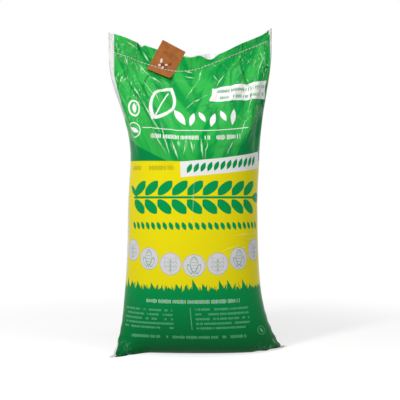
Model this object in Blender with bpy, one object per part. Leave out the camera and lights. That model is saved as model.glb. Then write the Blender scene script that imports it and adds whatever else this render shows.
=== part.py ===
"""Pillow sack of feed pellets, standing on its base, with a sewn top and a card tag.

A flat tube of polyethylene film is welded across the bottom, filled, and sewn shut
across the top with one chain-stitched thread that also holds the tag.
Metres, +Z up, the printed front faces -Y, origin on the floor under the sack's middle.
"""

import math

import bmesh
import bpy
import numpy as np
from mathutils import Matrix, Vector

# Film tube as it comes off the roll, laid flat
FLAT_WIDTH = 0.500
FLAT_LENGTH = 0.922
SEAM_THICKNESS = 0.0010

# Form of the filled sack
BODY_DEPTH = 0.282
FLOOR_RUN = 0.046
SHOULDER_LENGTH = 0.300
SHOULDER_POWER = 1.4
TOP_GATHER = 0.105
GATHER_LENGTH = 0.300
BASE_GATHER = 0.030
BASE_GATHER_LENGTH = 0.120

# The closure's V: where each half starts to climb to its corner, how steeply, and how softly it turns
CLIMB_STARTS = (-0.025, 0.068)
CLIMB_SLOPES = (0.300, 0.412)
CLIMB_TURN = 0.030
CLIMB_LENGTH = 0.420

# Sideways drift of the film, right of the middle at the base and left of it at the top
BASE_DRIFT = 0.016
BASE_DRIFT_LENGTH = 0.260
TOP_DRIFT = -0.006
SHOULDER_DRIFT = 0.008
SHOULDER_DRIFT_UP = 0.640
SHOULDER_DRIFT_REACH = 0.180

# Empty bottom corners, left and right: how far each swings back, draws to the right and lifts
EAR_START = 0.50
EAR_LENGTH = 0.170
EAR_SWINGS = (-0.105, 0.040)
EAR_DRAWS = (0.007, 0.006)
EAR_LIFTS = (0.002, 0.003)

# The sewn closure, which runs out of square with the top edge
LIP_LEFT = 0.049
LIP_RIGHT = 0.0225
LIP_TURN = (-0.100, 0.100)
STITCH_PITCH = 0.0104
STITCH_BAND = 0.008
HOLE_WIDTH = 0.0026
HOLE_HEIGHT = 0.0040
THREAD_DIAMETER = 0.0010
LEG_SPACING = 0.0014
LOOSE_GAP = 0.0004

# Card tag caught under the stitches, flat against the lip and bent forward below the thread
TAG_WIDTH = 0.072
TAG_HEIGHT = 0.096
TAG_THICKNESS = 0.0005
TAG_ACROSS = -0.076
TAG_ABOVE_STITCH = 0.0235
TAG_TURN = math.radians(28)
TAG_BEND_FROM = -0.120
TAG_BEND_TO = -0.050
TAG_BEND_RADIUS = 0.013
TAG_BEND = math.radians(48)
TAG_CELLS = (15, 20)

# Steps of the closure towards the back or the front: where, how far, over what half length
LIP_STEPS = (
    (-0.176, 0.024, 0.028),
    (0.000, 0.008, 0.030),
    (0.042, -0.030, 0.034),
    (0.170, 0.018, 0.050),
)
STEP_FADE = 0.170

# Waves of the cut top edge: where, how much longer, over what half length
TOP_EDGE = (
    (-0.152, -0.008, 0.012),
    (0.024, 0.005, 0.024),
    (0.062, -0.011, 0.032),
    (0.100, -0.004, 0.060),
    (0.250, 0.008, 0.030),
)

# Tension folds of the film, each from one film point to another, across and up the film
FOLD_WIDTH = 0.016
FRONT_FOLDS = (
    ((-0.185, 0.855), (-0.065, 0.770), 0.0100),
    ((-0.185, 0.815), (-0.075, 0.625), 0.0105),
    ((-0.226, 0.780), (-0.150, 0.590), 0.0090),
    ((-0.138, 0.715), (-0.060, 0.575), 0.0080),
    ((0.020, 0.860), (-0.030, 0.745), 0.0060),
    ((0.110, 0.835), (-0.030, 0.720), 0.0100),
    ((0.215, 0.840), (0.135, 0.620), 0.0110),
    ((0.165, 0.855), (0.085, 0.720), 0.0080),
    ((0.045, 0.730), (0.065, 0.620), 0.0060),
)
BACK_FOLDS = (
    ((-0.200, 0.840), (-0.095, 0.650), 0.0100),
    ((-0.120, 0.830), (-0.030, 0.710), 0.0085),
    ((0.205, 0.830), (0.080, 0.630), 0.0100),
    ((0.130, 0.840), (0.050, 0.720), 0.0085),
    ((0.225, 0.760), (0.150, 0.600), 0.0080),
)

# Puckers that gather each side edge above the base weld
PUCKER_PITCH = 0.034
PUCKER_DEPTH = 0.0035
PUCKER_REACH = 0.250
PUCKER_EDGE = 0.16

ROWS_BASE = 8
ROWS_BODY = 6
ROWS_SHOULDER = 25
ROWS_CROWD = 1.3
ROWS_LIP = 2
SHOULDER_START = 0.540
BASE_END = 0.170

HALF_WIDTH = FLAT_WIDTH / 2
HALF_DEPTH = BODY_DEPTH / 2
HALF_SEAM = SEAM_THICKNESS / 2
COLUMNS = 2 * round(FLAT_WIDTH / STITCH_PITCH / 2)
OUTWARD = Vector((0, -1, 0))


def ease(x):
    """Smooth step from 0 to 1 as x goes from 0 to 1."""
    x = np.clip(x, 0, 1)
    return x * x * (3 - 2 * x)


def lip(across):
    """Length of film above the stitch line."""
    start, end = LIP_TURN
    return LIP_LEFT + (LIP_RIGHT - LIP_LEFT) * ease((across - start) / (end - start))


def stitch_up(across):
    """Where the stitch line runs, measured up the film from the base weld."""
    return FLAT_LENGTH - lip(across)


def top_up(across):
    """Where the film's cut edge runs."""
    return FLAT_LENGTH + sum(far * ease(1 - np.abs(across - at) / half) for at, far, half in TOP_EDGE)


def half_depth(up, below_stitch):
    """Half the sack's depth: flat on the floor, round the toe, full, then in to the closure."""
    toe = HALF_DEPTH - FLOOR_RUN
    base = np.where(up < FLOOR_RUN, up, HALF_DEPTH - toe * np.exp(-np.maximum(up - FLOOR_RUN, 0) / toe))
    share = np.clip(below_stitch / SHOULDER_LENGTH, 0, 1)
    return np.maximum(base * np.sin(share * math.pi / 2) ** SHOULDER_POWER, HALF_SEAM)


def half_perimeter(wide, deep):
    """Half the way round an ellipse with these half axes."""
    h = ((wide - deep) / (wide + deep)) ** 2
    return math.pi / 2 * (wide + deep) * (1 + 3 * h / (10 + np.sqrt(4 - 3 * h)))


def half_width(deep, length):
    """Half width of the ellipse whose half perimeter is the film's width there."""
    low, high = np.zeros_like(deep), np.full_like(deep, FLAT_WIDTH)
    for _ in range(40):
        middle = (low + high) / 2
        short = half_perimeter(middle, deep) < length
        low, high = np.where(short, middle, low), np.where(short, high, middle)
    return (low + high) / 2


def gather(up, below_stitch):
    """Share of the film's width that small gathers take up."""
    top = TOP_GATHER * ease(1 - below_stitch / GATHER_LENGTH)
    return top + BASE_GATHER * ease(1 - up / BASE_GATHER_LENGTH)


def climb():
    """Height of the film's middle line, at fine steps up the film."""
    up = np.linspace(0, FLAT_LENGTH, 1600)
    deep = half_depth(up, stitch_up(0.0) - up)
    slope = np.gradient(deep, up)
    rise = np.sqrt(np.clip(1 - slope**2, 0, 1))
    rise[up <= FLOOR_RUN] = 0
    height = np.concatenate([[0], np.cumsum((rise[1:] + rise[:-1]) / 2 * np.diff(up))])
    return up, height


CLIMB_UP, CLIMB_HEIGHT = climb()


def film_height(up):
    """Height of the film's middle line, carried straight on past the nominal edge."""
    return np.interp(up, CLIMB_UP, CLIMB_HEIGHT) + np.maximum(up - FLAT_LENGTH, 0)


def side_lift(across, up):
    """How much higher the film is towards its side edges than at its middle."""
    top = ease((up - FLAT_LENGTH + CLIMB_LENGTH) / CLIMB_LENGTH)
    base = np.interp(across, (-HALF_WIDTH, HALF_WIDTH), EAR_LIFTS) * ear_share(across, up)
    past_starts = (CLIMB_STARTS[0] - across, across - CLIMB_STARTS[1])
    rises = [s * (past + np.hypot(past, CLIMB_TURN)) / 2 for past, s in zip(past_starts, CLIMB_SLOPES)]
    return base + top * sum(rises)


def ear_share(across, up):
    """How far a film point belongs to an empty bottom corner, from 0 to 1."""
    outer = ease((np.abs(across) / HALF_WIDTH - EAR_START) / (1 - EAR_START))
    return outer * ease(1 - up / EAR_LENGTH)


def lip_meander(across):
    """How far the closure wanders behind the sack's middle plane."""
    return sum(far * (ease((across - at) / (2 * half) + 0.5) - 0.5) for at, far, half in LIP_STEPS)


def fold_height(across, up, folds):
    """Outward rise of the tension folds, each a ridge that fades at both ends."""
    total = np.zeros_like(across)
    for (across_0, up_0), (across_1, up_1), high in folds:
        run = np.array([across_1 - across_0, up_1 - up_0])
        reach = np.hypot(*run)
        along = ((across - across_0) * run[0] + (up - up_0) * run[1]) / reach
        off = ((across - across_0) * run[1] - (up - up_0) * run[0]) / reach
        share = np.clip(along / reach, 0, 1)
        total += high * np.sin(share * math.pi) ** 0.7 * np.exp(-((off / FOLD_WIDTH) ** 2))
    return total


def pucker_height(across, up):
    """In and out waves of the side edges above the base weld."""
    edge = ease((np.abs(across) / HALF_WIDTH - 1 + PUCKER_EDGE) / PUCKER_EDGE)
    fade = ease(up / PUCKER_PITCH) * ease((PUCKER_REACH - up) / PUCKER_REACH)
    return -PUCKER_DEPTH * edge * fade * (1 - np.cos(2 * math.pi * up / PUCKER_PITCH)) / 2


def rows_up():
    """Shares of the way from base weld to stitch band for each row of film points."""
    base = np.linspace(0, BASE_END, ROWS_BASE, endpoint=False)
    body = np.linspace(BASE_END, SHOULDER_START, ROWS_BODY, endpoint=False)
    crowded = 1 - np.linspace(1, 0, ROWS_SHOULDER) ** ROWS_CROWD
    top = SHOULDER_START + (stitch_up(0.0) - STITCH_BAND / 2 - SHOULDER_START) * crowded
    return np.concatenate([base, body, top]) / top[-1]


def film_grid(front):
    """Film points of one ply as (across, up, place), rows from the base weld to the top edge."""
    across = np.linspace(-HALF_WIDTH, HALF_WIDTH, COLUMNS + 1)
    stitch = stitch_up(across)
    below = rows_up()[:, None] * (stitch - STITCH_BAND / 2)
    above = np.linspace(0, 1, ROWS_LIP + 1)[:, None]
    over = (stitch + STITCH_BAND / 2) * (1 - above) + top_up(across) * above
    up = np.concatenate([below, over])
    across = np.broadcast_to(across, up.shape)
    return across, up, film_places(across, up, front)


def film_places(across, up, front):
    """Places of film points, row by row, on the front or the back ply."""
    outward = -1.0 if front else 1.0
    places = np.empty(up.shape + (3,))
    turn = np.linspace(0, math.pi, 721)
    for row in range(len(up)):
        below_stitch = stitch_up(across[row]) - up[row]
        deep = half_depth(up[row], below_stitch)
        middle = float(np.median(deep))
        taken = gather(up[row], below_stitch).mean()
        wide = float(half_width(np.array([middle]), FLAT_WIDTH * (1 - taken))[0])
        steps = np.hypot(np.diff(wide * np.cos(turn)), np.diff(middle * np.sin(turn)))
        way = np.concatenate([[0], np.cumsum(steps)])
        angle = np.interp((across[row] / HALF_WIDTH + 1) / 2, way / way[-1], turn)
        round_x, round_y = np.cos(angle), np.sin(angle)
        normal = np.stack([-round_x * middle, round_y * wide])
        normal /= np.maximum(np.hypot(*normal), 1e-9)
        folds = FRONT_FOLDS if front else BACK_FOLDS
        fade = ease(below_stitch / FOLD_WIDTH / 4)
        rise = fade * fold_height(across[row], up[row], folds)
        rise += pucker_height(across[row], up[row])
        drift = BASE_DRIFT * ease(1 - up[row] / BASE_DRIFT_LENGTH)
        drift += TOP_DRIFT * ease((up[row] - SHOULDER_START) / (FLAT_LENGTH - SHOULDER_START))
        drift += SHOULDER_DRIFT * ease(1 - np.abs(up[row] - SHOULDER_DRIFT_UP) / SHOULDER_DRIFT_REACH)
        drift += np.where(across[row] < 0, *EAR_DRAWS) * ear_share(across[row], up[row])
        meander = lip_meander(across[row]) * ease(1 - below_stitch / STEP_FADE)
        meander += np.where(across[row] < 0, *EAR_SWINGS) * ear_share(across[row], up[row])
        height = film_height(up[row]) + side_lift(across[row], up[row])
        places[row, :, 0] = -wide * round_x + drift + normal[0] * rise
        places[row, :, 1] = outward * (deep * round_y + normal[1] * rise) + meander
        places[row, :, 2] = height
        edge = np.abs(across[row]) > HALF_WIDTH * (1 - 1e-6)
        places[row, edge, 1] = meander[edge]
    return places


def centred(*plies):
    """The plies moved so that the middle of their outline stands over the origin."""
    places = np.concatenate([ply[2].reshape(-1, 3) for ply in plies])
    middle = (places.min(axis=0) + places.max(axis=0)) / 2
    return [(across, up, places - middle * (1, 1, 0)) for across, up, places in plies]


FRONT, BACK = centred(film_grid(front=True), film_grid(front=False))


def on_film(ply, across, up):
    """Place on a ply's own facets, carried straight on above its top edge."""
    grid_across, grid_up, places = ply
    column = np.clip((across + HALF_WIDTH) / FLAT_WIDTH * COLUMNS, 0, COLUMNS - 1e-9)
    left = int(column)
    share = column - left
    ups = grid_up[:, left] * (1 - share) + grid_up[:, left + 1] * share
    row = int(np.clip(np.searchsorted(ups, up) - 1, 0, len(ups) - 2))
    rise = (up - ups[row]) / (ups[row + 1] - ups[row])
    low = places[row, left] * (1 - share) + places[row, left + 1] * share
    high = places[row + 1, left] * (1 - share) + places[row + 1, left + 1] * share
    return Vector(low * (1 - rise) + high * rise)


def front_normal(across, up, step=0.004):
    """Outward direction of the front ply."""
    sideways = on_film(FRONT, across + step, up) - on_film(FRONT, across - step, up)
    upward = on_film(FRONT, across, up + step) - on_film(FRONT, across, up - step)
    return sideways.cross(upward).normalized()


def material(name, colour, roughness):
    """Plain Principled material with the piece's own colour."""
    made = bpy.data.materials.new(name)
    made.use_nodes = True
    shader = made.node_tree.nodes["Principled BSDF"]
    shader.inputs["Base Color"].default_value = (*colour, 1)
    shader.inputs["Roughness"].default_value = roughness
    return made


def add_object(name, mesh, look):
    """Links a mesh to the scene as one named object."""
    made = bpy.data.objects.new(name, mesh)
    made.data.materials.append(look)
    bpy.context.scene.collection.objects.link(made)
    return made


def build_sack(look):
    """The filled film sack: two plies that share their side edges, closed along base and top."""
    shape = bmesh.new()
    rows = len(FRONT[1])
    front = [[shape.verts.new(FRONT[2][r, c]) for c in range(COLUMNS + 1)] for r in range(rows)]
    back = []
    for r in range(rows):
        inner = [shape.verts.new(BACK[2][r, c]) for c in range(1, COLUMNS)]
        back.append([front[r][0], *inner, front[r][COLUMNS]])
    stitch_row = rows - ROWS_LIP - 2
    pairs = []
    for r in range(rows - 1):
        for c in range(COLUMNS):
            face = shape.faces.new((front[r][c], front[r][c + 1], front[r + 1][c + 1], front[r + 1][c]))
            behind = shape.faces.new((back[r][c], back[r + 1][c], back[r + 1][c + 1], back[r][c + 1]))
            if r == stitch_row and 0 < c < COLUMNS - 1:
                pairs.append((face, behind))
    for row, turned in ((0, False), (rows - 1, True)):
        for c in range(COLUMNS):
            ring = [front[row][c], back[row][c], back[row][c + 1], front[row][c + 1]]
            ring = [v for i, v in enumerate(ring) if v not in ring[:i]]
            shape.faces.new(ring[::-1] if turned else ring)
    punch_needle_holes(shape, pairs)
    mesh = bpy.data.meshes.new("sack")
    shape.normal_update()
    shape.to_mesh(mesh)
    shape.free()
    mesh.shade_smooth()
    mesh.set_sharp_from_angle(angle=math.radians(50))
    return add_object("sack", mesh, look)


def punch_needle_holes(shape, pairs):
    """A hole through both plies in the middle of each stitch cell, bridged front to back."""
    for face, behind in pairs:
        loops = []
        for side in (face, behind):
            centre = side.calc_center_median()
            corners = [v.co.copy() for v in side.verts]
            bmesh.ops.inset_individual(shape, faces=[side], thickness=0.001)
            wide = (corners[1] - corners[0]).length
            for v, corner in zip(side.verts, corners):
                v.co = centre + (corner - centre) * (HOLE_WIDTH / wide)
                v.co.z = centre.z + (corner.z - centre.z) * (HOLE_HEIGHT / STITCH_BAND)
            loops.append(list(side.edges))
        bmesh.ops.delete(shape, geom=[face, behind], context="FACES_ONLY")
        bmesh.ops.bridge_loops(shape, edges=loops[0] + loops[1])


def stitch_holes():
    """Film points of the needle holes, left to right."""
    cell = FLAT_WIDTH / COLUMNS
    at = [-HALF_WIDTH + (c + 0.5) * cell for c in range(1, COLUMNS - 1)]
    return [(across, float(stitch_up(across))) for across in at]


def seam_front(across):
    """Place on the front of the stitch line."""
    return on_film(FRONT, across, float(stitch_up(across)))


def tag_frame():
    """Middle of the tag's bend line, its direction, and the direction down from it."""
    left, right = seam_front(TAG_BEND_FROM), seam_front(TAG_BEND_TO)
    along = (right - left).normalized()
    return (left + right) / 2, along, along.cross(OUTWARD)


def in_tag(across, up, margin=0.0):
    """Whether a film point lies under the tag, grown by a margin."""
    away = on_film(FRONT, across, up) - seam_front(TAG_ACROSS)
    local = Matrix.Rotation(TAG_TURN, 2) @ Vector((away.x, away.z - TAG_ABOVE_STITCH))
    return abs(local.x) < TAG_WIDTH / 2 + margin and abs(local.y) < TAG_HEIGHT / 2 + margin


def seam_place(across, up, out):
    """Place at a distance in front of the closed seam's middle, or behind it where out is negative."""
    step = FLAT_WIDTH / COLUMNS / 2
    middle = [(on_film(FRONT, across + s, up) + on_film(BACK, across + s, up)) / 2 for s in (-step, 0, step)]
    normal = front_normal(across, up)
    turn = (middle[1] - middle[0]).angle(middle[2] - middle[1], 0)
    return middle[1] + normal * (out / math.cos(turn / 2))


def thread_route():
    """Way of the thread: over the front, down each hole as a loop round the next loop's legs, and up."""
    pitch = FLAT_WIDTH / COLUMNS
    leg = LEG_SPACING / 2
    near = SEAM_THICKNESS / 2 + LOOSE_GAP + THREAD_DIAMETER / 2
    far = near + THREAD_DIAMETER + LOOSE_GAP
    loop_end = pitch + THREAD_DIAMETER + LOOSE_GAP
    loop_side = leg + THREAD_DIAMETER + LOOSE_GAP
    points = []
    for across, up in stitch_holes():
        over = near
        if in_tag(across, up, margin=2 * pitch):
            middle, _, falling = tag_frame()
            _, forward, _ = tag_bend((seam_front(across) - middle).dot(falling))
            over += TAG_THICKNESS + LOOSE_GAP + forward
        beside_above_out = (
            (0, -leg, over),
            (0, -leg, -far),
            (loop_end, -loop_side, -near),
            (loop_end, loop_side, -near),
            (0, leg, -far),
            (0, leg, over),
            (pitch / 2, 0, over),
        )
        points += [seam_place(across + beside, up + above, out) for beside, above, out in beside_above_out]
    return points[:-1]


def build_thread(look):
    """The closing thread, one chain of stitches right across the sack."""
    route = thread_route()
    curve = bpy.data.curves.new("closing_thread", "CURVE")
    curve.dimensions = "3D"
    spline = curve.splines.new("POLY")
    spline.points.add(len(route) - 1)
    for point, place in zip(spline.points, route):
        point.co = (*place, 1)
    curve.bevel_depth = THREAD_DIAMETER / 2
    curve.bevel_resolution = 0
    curve.use_fill_caps = True
    return add_object("closing_thread", curve, look)


def tag_bend(below):
    """How far down and forward the card reaches below its bend line, and how far it is turned there."""
    turn = min(max(below, 0) / TAG_BEND_RADIUS, TAG_BEND)
    straight = below - turn * TAG_BEND_RADIUS
    down = TAG_BEND_RADIUS * math.sin(turn) + straight * math.cos(turn)
    forward = TAG_BEND_RADIUS * (1 - math.cos(turn)) + straight * math.sin(turn)
    return down, forward, turn


def tag_place(local_x, local_y, out):
    """Place of a point of the tag, at a height over its back."""
    turned = Matrix.Rotation(-TAG_TURN, 2) @ Vector((local_x, local_y))
    flat = seam_front(TAG_ACROSS) + Vector((turned.x, 0, turned.y + TAG_ABOVE_STITCH))
    middle, along, falling = tag_frame()
    away = flat - middle
    down, forward, turn = tag_bend(away.dot(falling))
    face = OUTWARD * math.cos(turn) - falling * math.sin(turn)
    place = middle + along * away.dot(along) + falling * down
    return place + OUTWARD * (forward + LOOSE_GAP) + face * out


def build_tag(look):
    """The card tag, a thin sheet that bends with the film, with the needle's holes in it."""
    shape = bmesh.new()
    columns = np.linspace(-TAG_WIDTH / 2, TAG_WIDTH / 2, TAG_CELLS[0] + 1)
    rows = np.linspace(-TAG_HEIGHT / 2, TAG_HEIGHT / 2, TAG_CELLS[1] + 1)
    behind = [[shape.verts.new(tag_place(x, y, 0)) for x in columns] for y in rows]
    front = [[shape.verts.new(tag_place(x, y, TAG_THICKNESS)) for x in columns] for y in rows]
    for j in range(TAG_CELLS[1]):
        for i in range(TAG_CELLS[0]):
            shape.faces.new((front[j][i], front[j][i + 1], front[j + 1][i + 1], front[j + 1][i]))
            shape.faces.new((behind[j][i], behind[j + 1][i], behind[j + 1][i + 1], behind[j][i + 1]))
    bmesh.ops.bridge_loops(shape, edges=[e for e in shape.edges if e.is_boundary])
    bmesh.ops.recalc_face_normals(shape, faces=shape.faces)
    mesh = bpy.data.meshes.new("card_tag")
    shape.to_mesh(mesh)
    shape.free()
    tag = add_object("card_tag", mesh, look)
    cut = tag.modifiers.new("needle_holes", "BOOLEAN")
    cut.operation = "DIFFERENCE"
    cut.object = build_needle()
    return tag


def build_needle():
    """Cutter with one block for each needle hole in the tag."""
    shape = bmesh.new()
    deep = 12 * TAG_THICKNESS
    for across, up in stitch_holes():
        if not in_tag(across, up, margin=HOLE_WIDTH):
            continue
        normal = front_normal(across, up)
        sideways = normal.cross(Vector((0, 0, 1))).normalized() * -1
        upward = normal.cross(sideways)
        turn = Matrix((sideways, normal, upward)).transposed().to_4x4()
        size = Matrix.Diagonal((HOLE_WIDTH, deep, HOLE_HEIGHT, 1))
        at = Matrix.Translation(on_film(FRONT, across, up))
        bmesh.ops.create_cube(shape, size=1, matrix=at @ turn @ size)
    bmesh.ops.recalc_face_normals(shape, faces=shape.faces)
    mesh = bpy.data.meshes.new("needle_cutter")
    shape.to_mesh(mesh)
    shape.free()
    needle = bpy.data.objects.new("needle_cutter", mesh)
    bpy.context.scene.collection.objects.link(needle)
    needle.hide_render = True
    needle.display_type = "WIRE"
    return needle


def main():
    for old in list(bpy.data.objects):
        bpy.data.objects.remove(old)
    build_sack(material("printed_film", (0.02, 0.42, 0.07), 0.25))
    build_thread(material("cotton_thread", (0.85, 0.84, 0.74), 0.8))
    build_tag(material("brown_card", (0.45, 0.17, 0.05), 0.7))


main()
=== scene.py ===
"""Looks of a pillow sack of feed pellets: printed film, closing thread, card tag and a pale studio.

The film's form repeats the solids' own functions on a finer grid, so every piece lies where its solid is.
Metres, +Z up, the printed front faces -Y. Places in the print are millimetres on the film laid flat.
"""

import collections
import math

import bmesh
import bpy
import numpy as np
from mathutils import Matrix, Vector, noise


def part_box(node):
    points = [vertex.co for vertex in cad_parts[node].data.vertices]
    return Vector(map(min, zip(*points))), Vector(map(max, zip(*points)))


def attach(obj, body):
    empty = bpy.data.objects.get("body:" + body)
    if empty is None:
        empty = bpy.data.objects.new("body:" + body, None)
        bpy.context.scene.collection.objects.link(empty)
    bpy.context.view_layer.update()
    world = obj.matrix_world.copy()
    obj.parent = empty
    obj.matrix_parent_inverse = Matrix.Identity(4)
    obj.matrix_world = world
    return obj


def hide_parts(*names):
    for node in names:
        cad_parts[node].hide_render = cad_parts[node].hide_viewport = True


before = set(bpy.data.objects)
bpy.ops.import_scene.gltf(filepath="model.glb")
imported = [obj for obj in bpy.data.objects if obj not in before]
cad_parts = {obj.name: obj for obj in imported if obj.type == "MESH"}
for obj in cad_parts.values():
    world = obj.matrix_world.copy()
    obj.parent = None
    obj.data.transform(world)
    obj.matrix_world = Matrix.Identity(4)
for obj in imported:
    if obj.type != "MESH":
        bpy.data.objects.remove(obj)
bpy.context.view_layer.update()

bl_info = {
    "name": "Feed sack",
    "version": (1, 0, 0),
    "blender": (4, 5, 0),
    "location": "View3D > Sidebar > Feed sack",
    "description": "Makes the printed film, the closing thread, the card tag and the stage of a feed sack",
    "category": "Object",
}

# Film tube as it comes off the roll, laid flat
FLAT_WIDTH = 0.500
FLAT_LENGTH = 0.922
SEAM_THICKNESS = 0.0010

# Form of the filled sack
BODY_DEPTH = 0.282
FLOOR_RUN = 0.046
SHOULDER_LENGTH = 0.300
SHOULDER_POWER = 1.4
TOP_GATHER = 0.105
GATHER_LENGTH = 0.300
BASE_GATHER = 0.030
BASE_GATHER_LENGTH = 0.120

# The closure's V: where each half starts to climb to its corner, how steeply, and how softly it turns
CLIMB_STARTS = (-0.025, 0.068)
CLIMB_SLOPES = (0.300, 0.412)
CLIMB_TURN = 0.030
CLIMB_LENGTH = 0.420

# Sideways drift of the film
BASE_DRIFT = 0.016
BASE_DRIFT_LENGTH = 0.260
TOP_DRIFT = -0.006
SHOULDER_DRIFT = 0.008
SHOULDER_DRIFT_UP = 0.640
SHOULDER_DRIFT_REACH = 0.180

# Empty bottom corners, left and right
EAR_START = 0.50
EAR_LENGTH = 0.170
EAR_SWINGS = (-0.105, 0.040)
EAR_DRAWS = (0.007, 0.006)
EAR_LIFTS = (0.002, 0.003)

# The sewn closure
LIP_LEFT = 0.049
LIP_RIGHT = 0.0225
LIP_TURN = (-0.100, 0.100)
STITCH_PITCH = 0.0104
HOLE_WIDTH = 0.0026
HOLE_HEIGHT = 0.0040
LEG_SPACING = 0.0014
LOOSE_GAP = 0.0004
LIP_STEPS = (
    (-0.176, 0.024, 0.028),
    (0.000, 0.008, 0.030),
    (0.042, -0.030, 0.034),
    (0.170, 0.018, 0.050),
)
STEP_FADE = 0.170

# Card tag, flat against the lip and bent forward below the thread
TAG_WIDTH = 0.072
TAG_HEIGHT = 0.096
TAG_THICKNESS = 0.0005
TAG_ACROSS = -0.076
TAG_ABOVE_STITCH = 0.0235
TAG_TURN = math.radians(28)
TAG_BEND_FROM = -0.120
TAG_BEND_TO = -0.050
TAG_BEND_RADIUS = 0.013
TAG_CELLS = (36, 48)

# Soft tension folds: from and to, across and up the film, and height
FOLD_WIDTH = 0.016
FRONT_FOLDS = (
    ((-0.185, 0.855), (-0.065, 0.770), 0.0100),
    ((-0.185, 0.815), (-0.075, 0.625), 0.0105),
    ((-0.226, 0.780), (-0.150, 0.590), 0.0090),
    ((-0.138, 0.715), (-0.060, 0.575), 0.0080),
    ((0.020, 0.860), (-0.030, 0.745), 0.0060),
    ((0.110, 0.835), (-0.030, 0.720), 0.0100),
    ((0.215, 0.840), (0.135, 0.620), 0.0110),
    ((0.165, 0.855), (0.085, 0.720), 0.0080),
    ((0.045, 0.730), (0.065, 0.620), 0.0060),
)
BACK_FOLDS = (
    ((-0.200, 0.840), (-0.095, 0.650), 0.0100),
    ((-0.120, 0.830), (-0.030, 0.710), 0.0085),
    ((0.205, 0.830), (0.080, 0.630), 0.0100),
    ((0.130, 0.840), (0.050, 0.720), 0.0085),
    ((0.225, 0.760), (0.150, 0.600), 0.0080),
)

# Thin creases on top of the folds
CREASE_WIDTH = 0.0036
FRONT_CREASES = (
    ((-0.168, 0.868), (-0.124, 0.840), 0.0030),
    ((-0.130, 0.842), (-0.080, 0.823), 0.0030),
    ((-0.143, 0.822), (-0.100, 0.768), 0.0026),
    ((-0.174, 0.796), (-0.143, 0.750), 0.0026),
    ((-0.147, 0.758), (-0.086, 0.654), 0.0034),
    ((-0.134, 0.708), (-0.068, 0.598), 0.0030),
    ((-0.205, 0.780), (-0.160, 0.640), 0.0024),
    ((-0.060, 0.640), (-0.040, 0.584), 0.0020),
    ((-0.020, 0.650), (-0.012, 0.592), 0.0014),
    ((0.018, 0.648), (0.008, 0.590), 0.0014),
    ((0.111, 0.858), (0.071, 0.820), 0.0030),
    ((0.054, 0.803), (-0.025, 0.736), 0.0030),
    ((0.028, 0.858), (-0.019, 0.768), 0.0024),
    ((0.150, 0.862), (0.100, 0.730), 0.0020),
    ((0.200, 0.860), (0.160, 0.700), 0.0022),
    ((0.225, 0.780), (0.130, 0.600), 0.0024),
    ((0.002, 0.580), (0.000, 0.390), 0.0007),
    ((0.066, 0.330), (0.152, 0.352), 0.0012),
    ((0.100, 0.384), (0.216, 0.406), 0.0012),
    ((0.118, 0.370), (0.232, 0.390), 0.0012),
)
HOLLOW_WIDTH = 0.013
HOLLOWS = (
    ((-0.208, 0.868), (-0.158, 0.735), -0.0080),
    ((-0.150, 0.770), (-0.110, 0.640), -0.0050),
    ((-0.060, 0.800), (-0.040, 0.640), -0.0035),
    ((0.085, 0.850), (0.030, 0.760), -0.0045),
    ((0.180, 0.860), (0.150, 0.730), -0.0060),
    ((0.222, 0.730), (0.185, 0.600), -0.0060),
)
BACK_CREASES = (
    ((-0.205, 0.850), (-0.100, 0.640), 0.0022),
    ((-0.150, 0.860), (-0.080, 0.760), 0.0018),
    ((-0.120, 0.820), (-0.020, 0.700), 0.0022),
    ((-0.030, 0.860), (-0.010, 0.740), 0.0016),
    ((0.205, 0.845), (0.090, 0.620), 0.0024),
    ((0.135, 0.860), (0.050, 0.700), 0.0020),
    ((0.228, 0.760), (0.150, 0.590), 0.0020),
    ((0.060, 0.850), (0.020, 0.760), 0.0016),
)

# Puckers that gather each side edge above the base weld
PUCKER_PITCH = 0.034
PUCKER_DEPTH = 0.0035
PUCKER_REACH = 0.250
PUCKER_EDGE = 0.16

# Waves of the cut top edge, and how the back ply's differs: where, how much longer, over what half length
TOP_EDGE = (
    (-0.152, -0.008, 0.012),
    (0.024, 0.005, 0.024),
    (0.062, -0.011, 0.032),
    (0.100, -0.004, 0.060),
    (0.250, 0.008, 0.030),
)
BACK_EDGE = ((0.005, 0.005, 0.050), (0.058, 0.017, 0.036), (-0.150, 0.006, 0.016))

# Small crumples of the film, in facets drawn out along the pull of the closure
FAN_UP = 0.470
FACET_ACROSS = 0.042
FACET_ALONG = 0.100
CRUMPLE_START = 0.580
CRUMPLE_FULL = 0.760
EAR_CRUMPLE = 0.006
EAR_WAVES = (0.028, 0.013)
SAG_SIZE = 0.150
SAG_HEIGHT = 0.0016
SAG_FADE = 0.1
FAN_SPREAD = 0.7
FRONT_SEED = 3.0
BACK_SEED = 11.0

# How small forms fade out: by the stitches, towards the side edges and round the tag
SEAM_CLEAR = 0.004
SEAM_FADE = 0.030
SIDE_FADE = 0.030
TAG_FADE = 0.014
CRUMPLE_AT_SEAM = 0.35
CRUMPLE_ON_LIP = 0.12
CRUMPLE_MIDDLE = 0.45

# The free lip above the stitches, whose two plies part a little
LIP_CURL = 1.6
LIP_WAVE = 0.045
LIP_SIDE_FADE = 0.060
LIP_TAG_FADE = 0.020
FRONT_LIP_SEED = 7.0
BACK_LIP_SEED = 2.0

# Rows of the film's grid in its base, body, shoulder and lip, and where these parts meet
ROWS_BASE = 50
ROWS_BODY = 48
ROWS_SHOULDER = 132
ROWS_LIP = 12
SHOULDER_START = 0.540
BASE_END = 0.170
CLIMB_STEPS = 1600
TURN_STEPS = 721
PLY_THICKNESS = 0.0002
VALLEY_ABOVE = 0.0050

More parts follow.
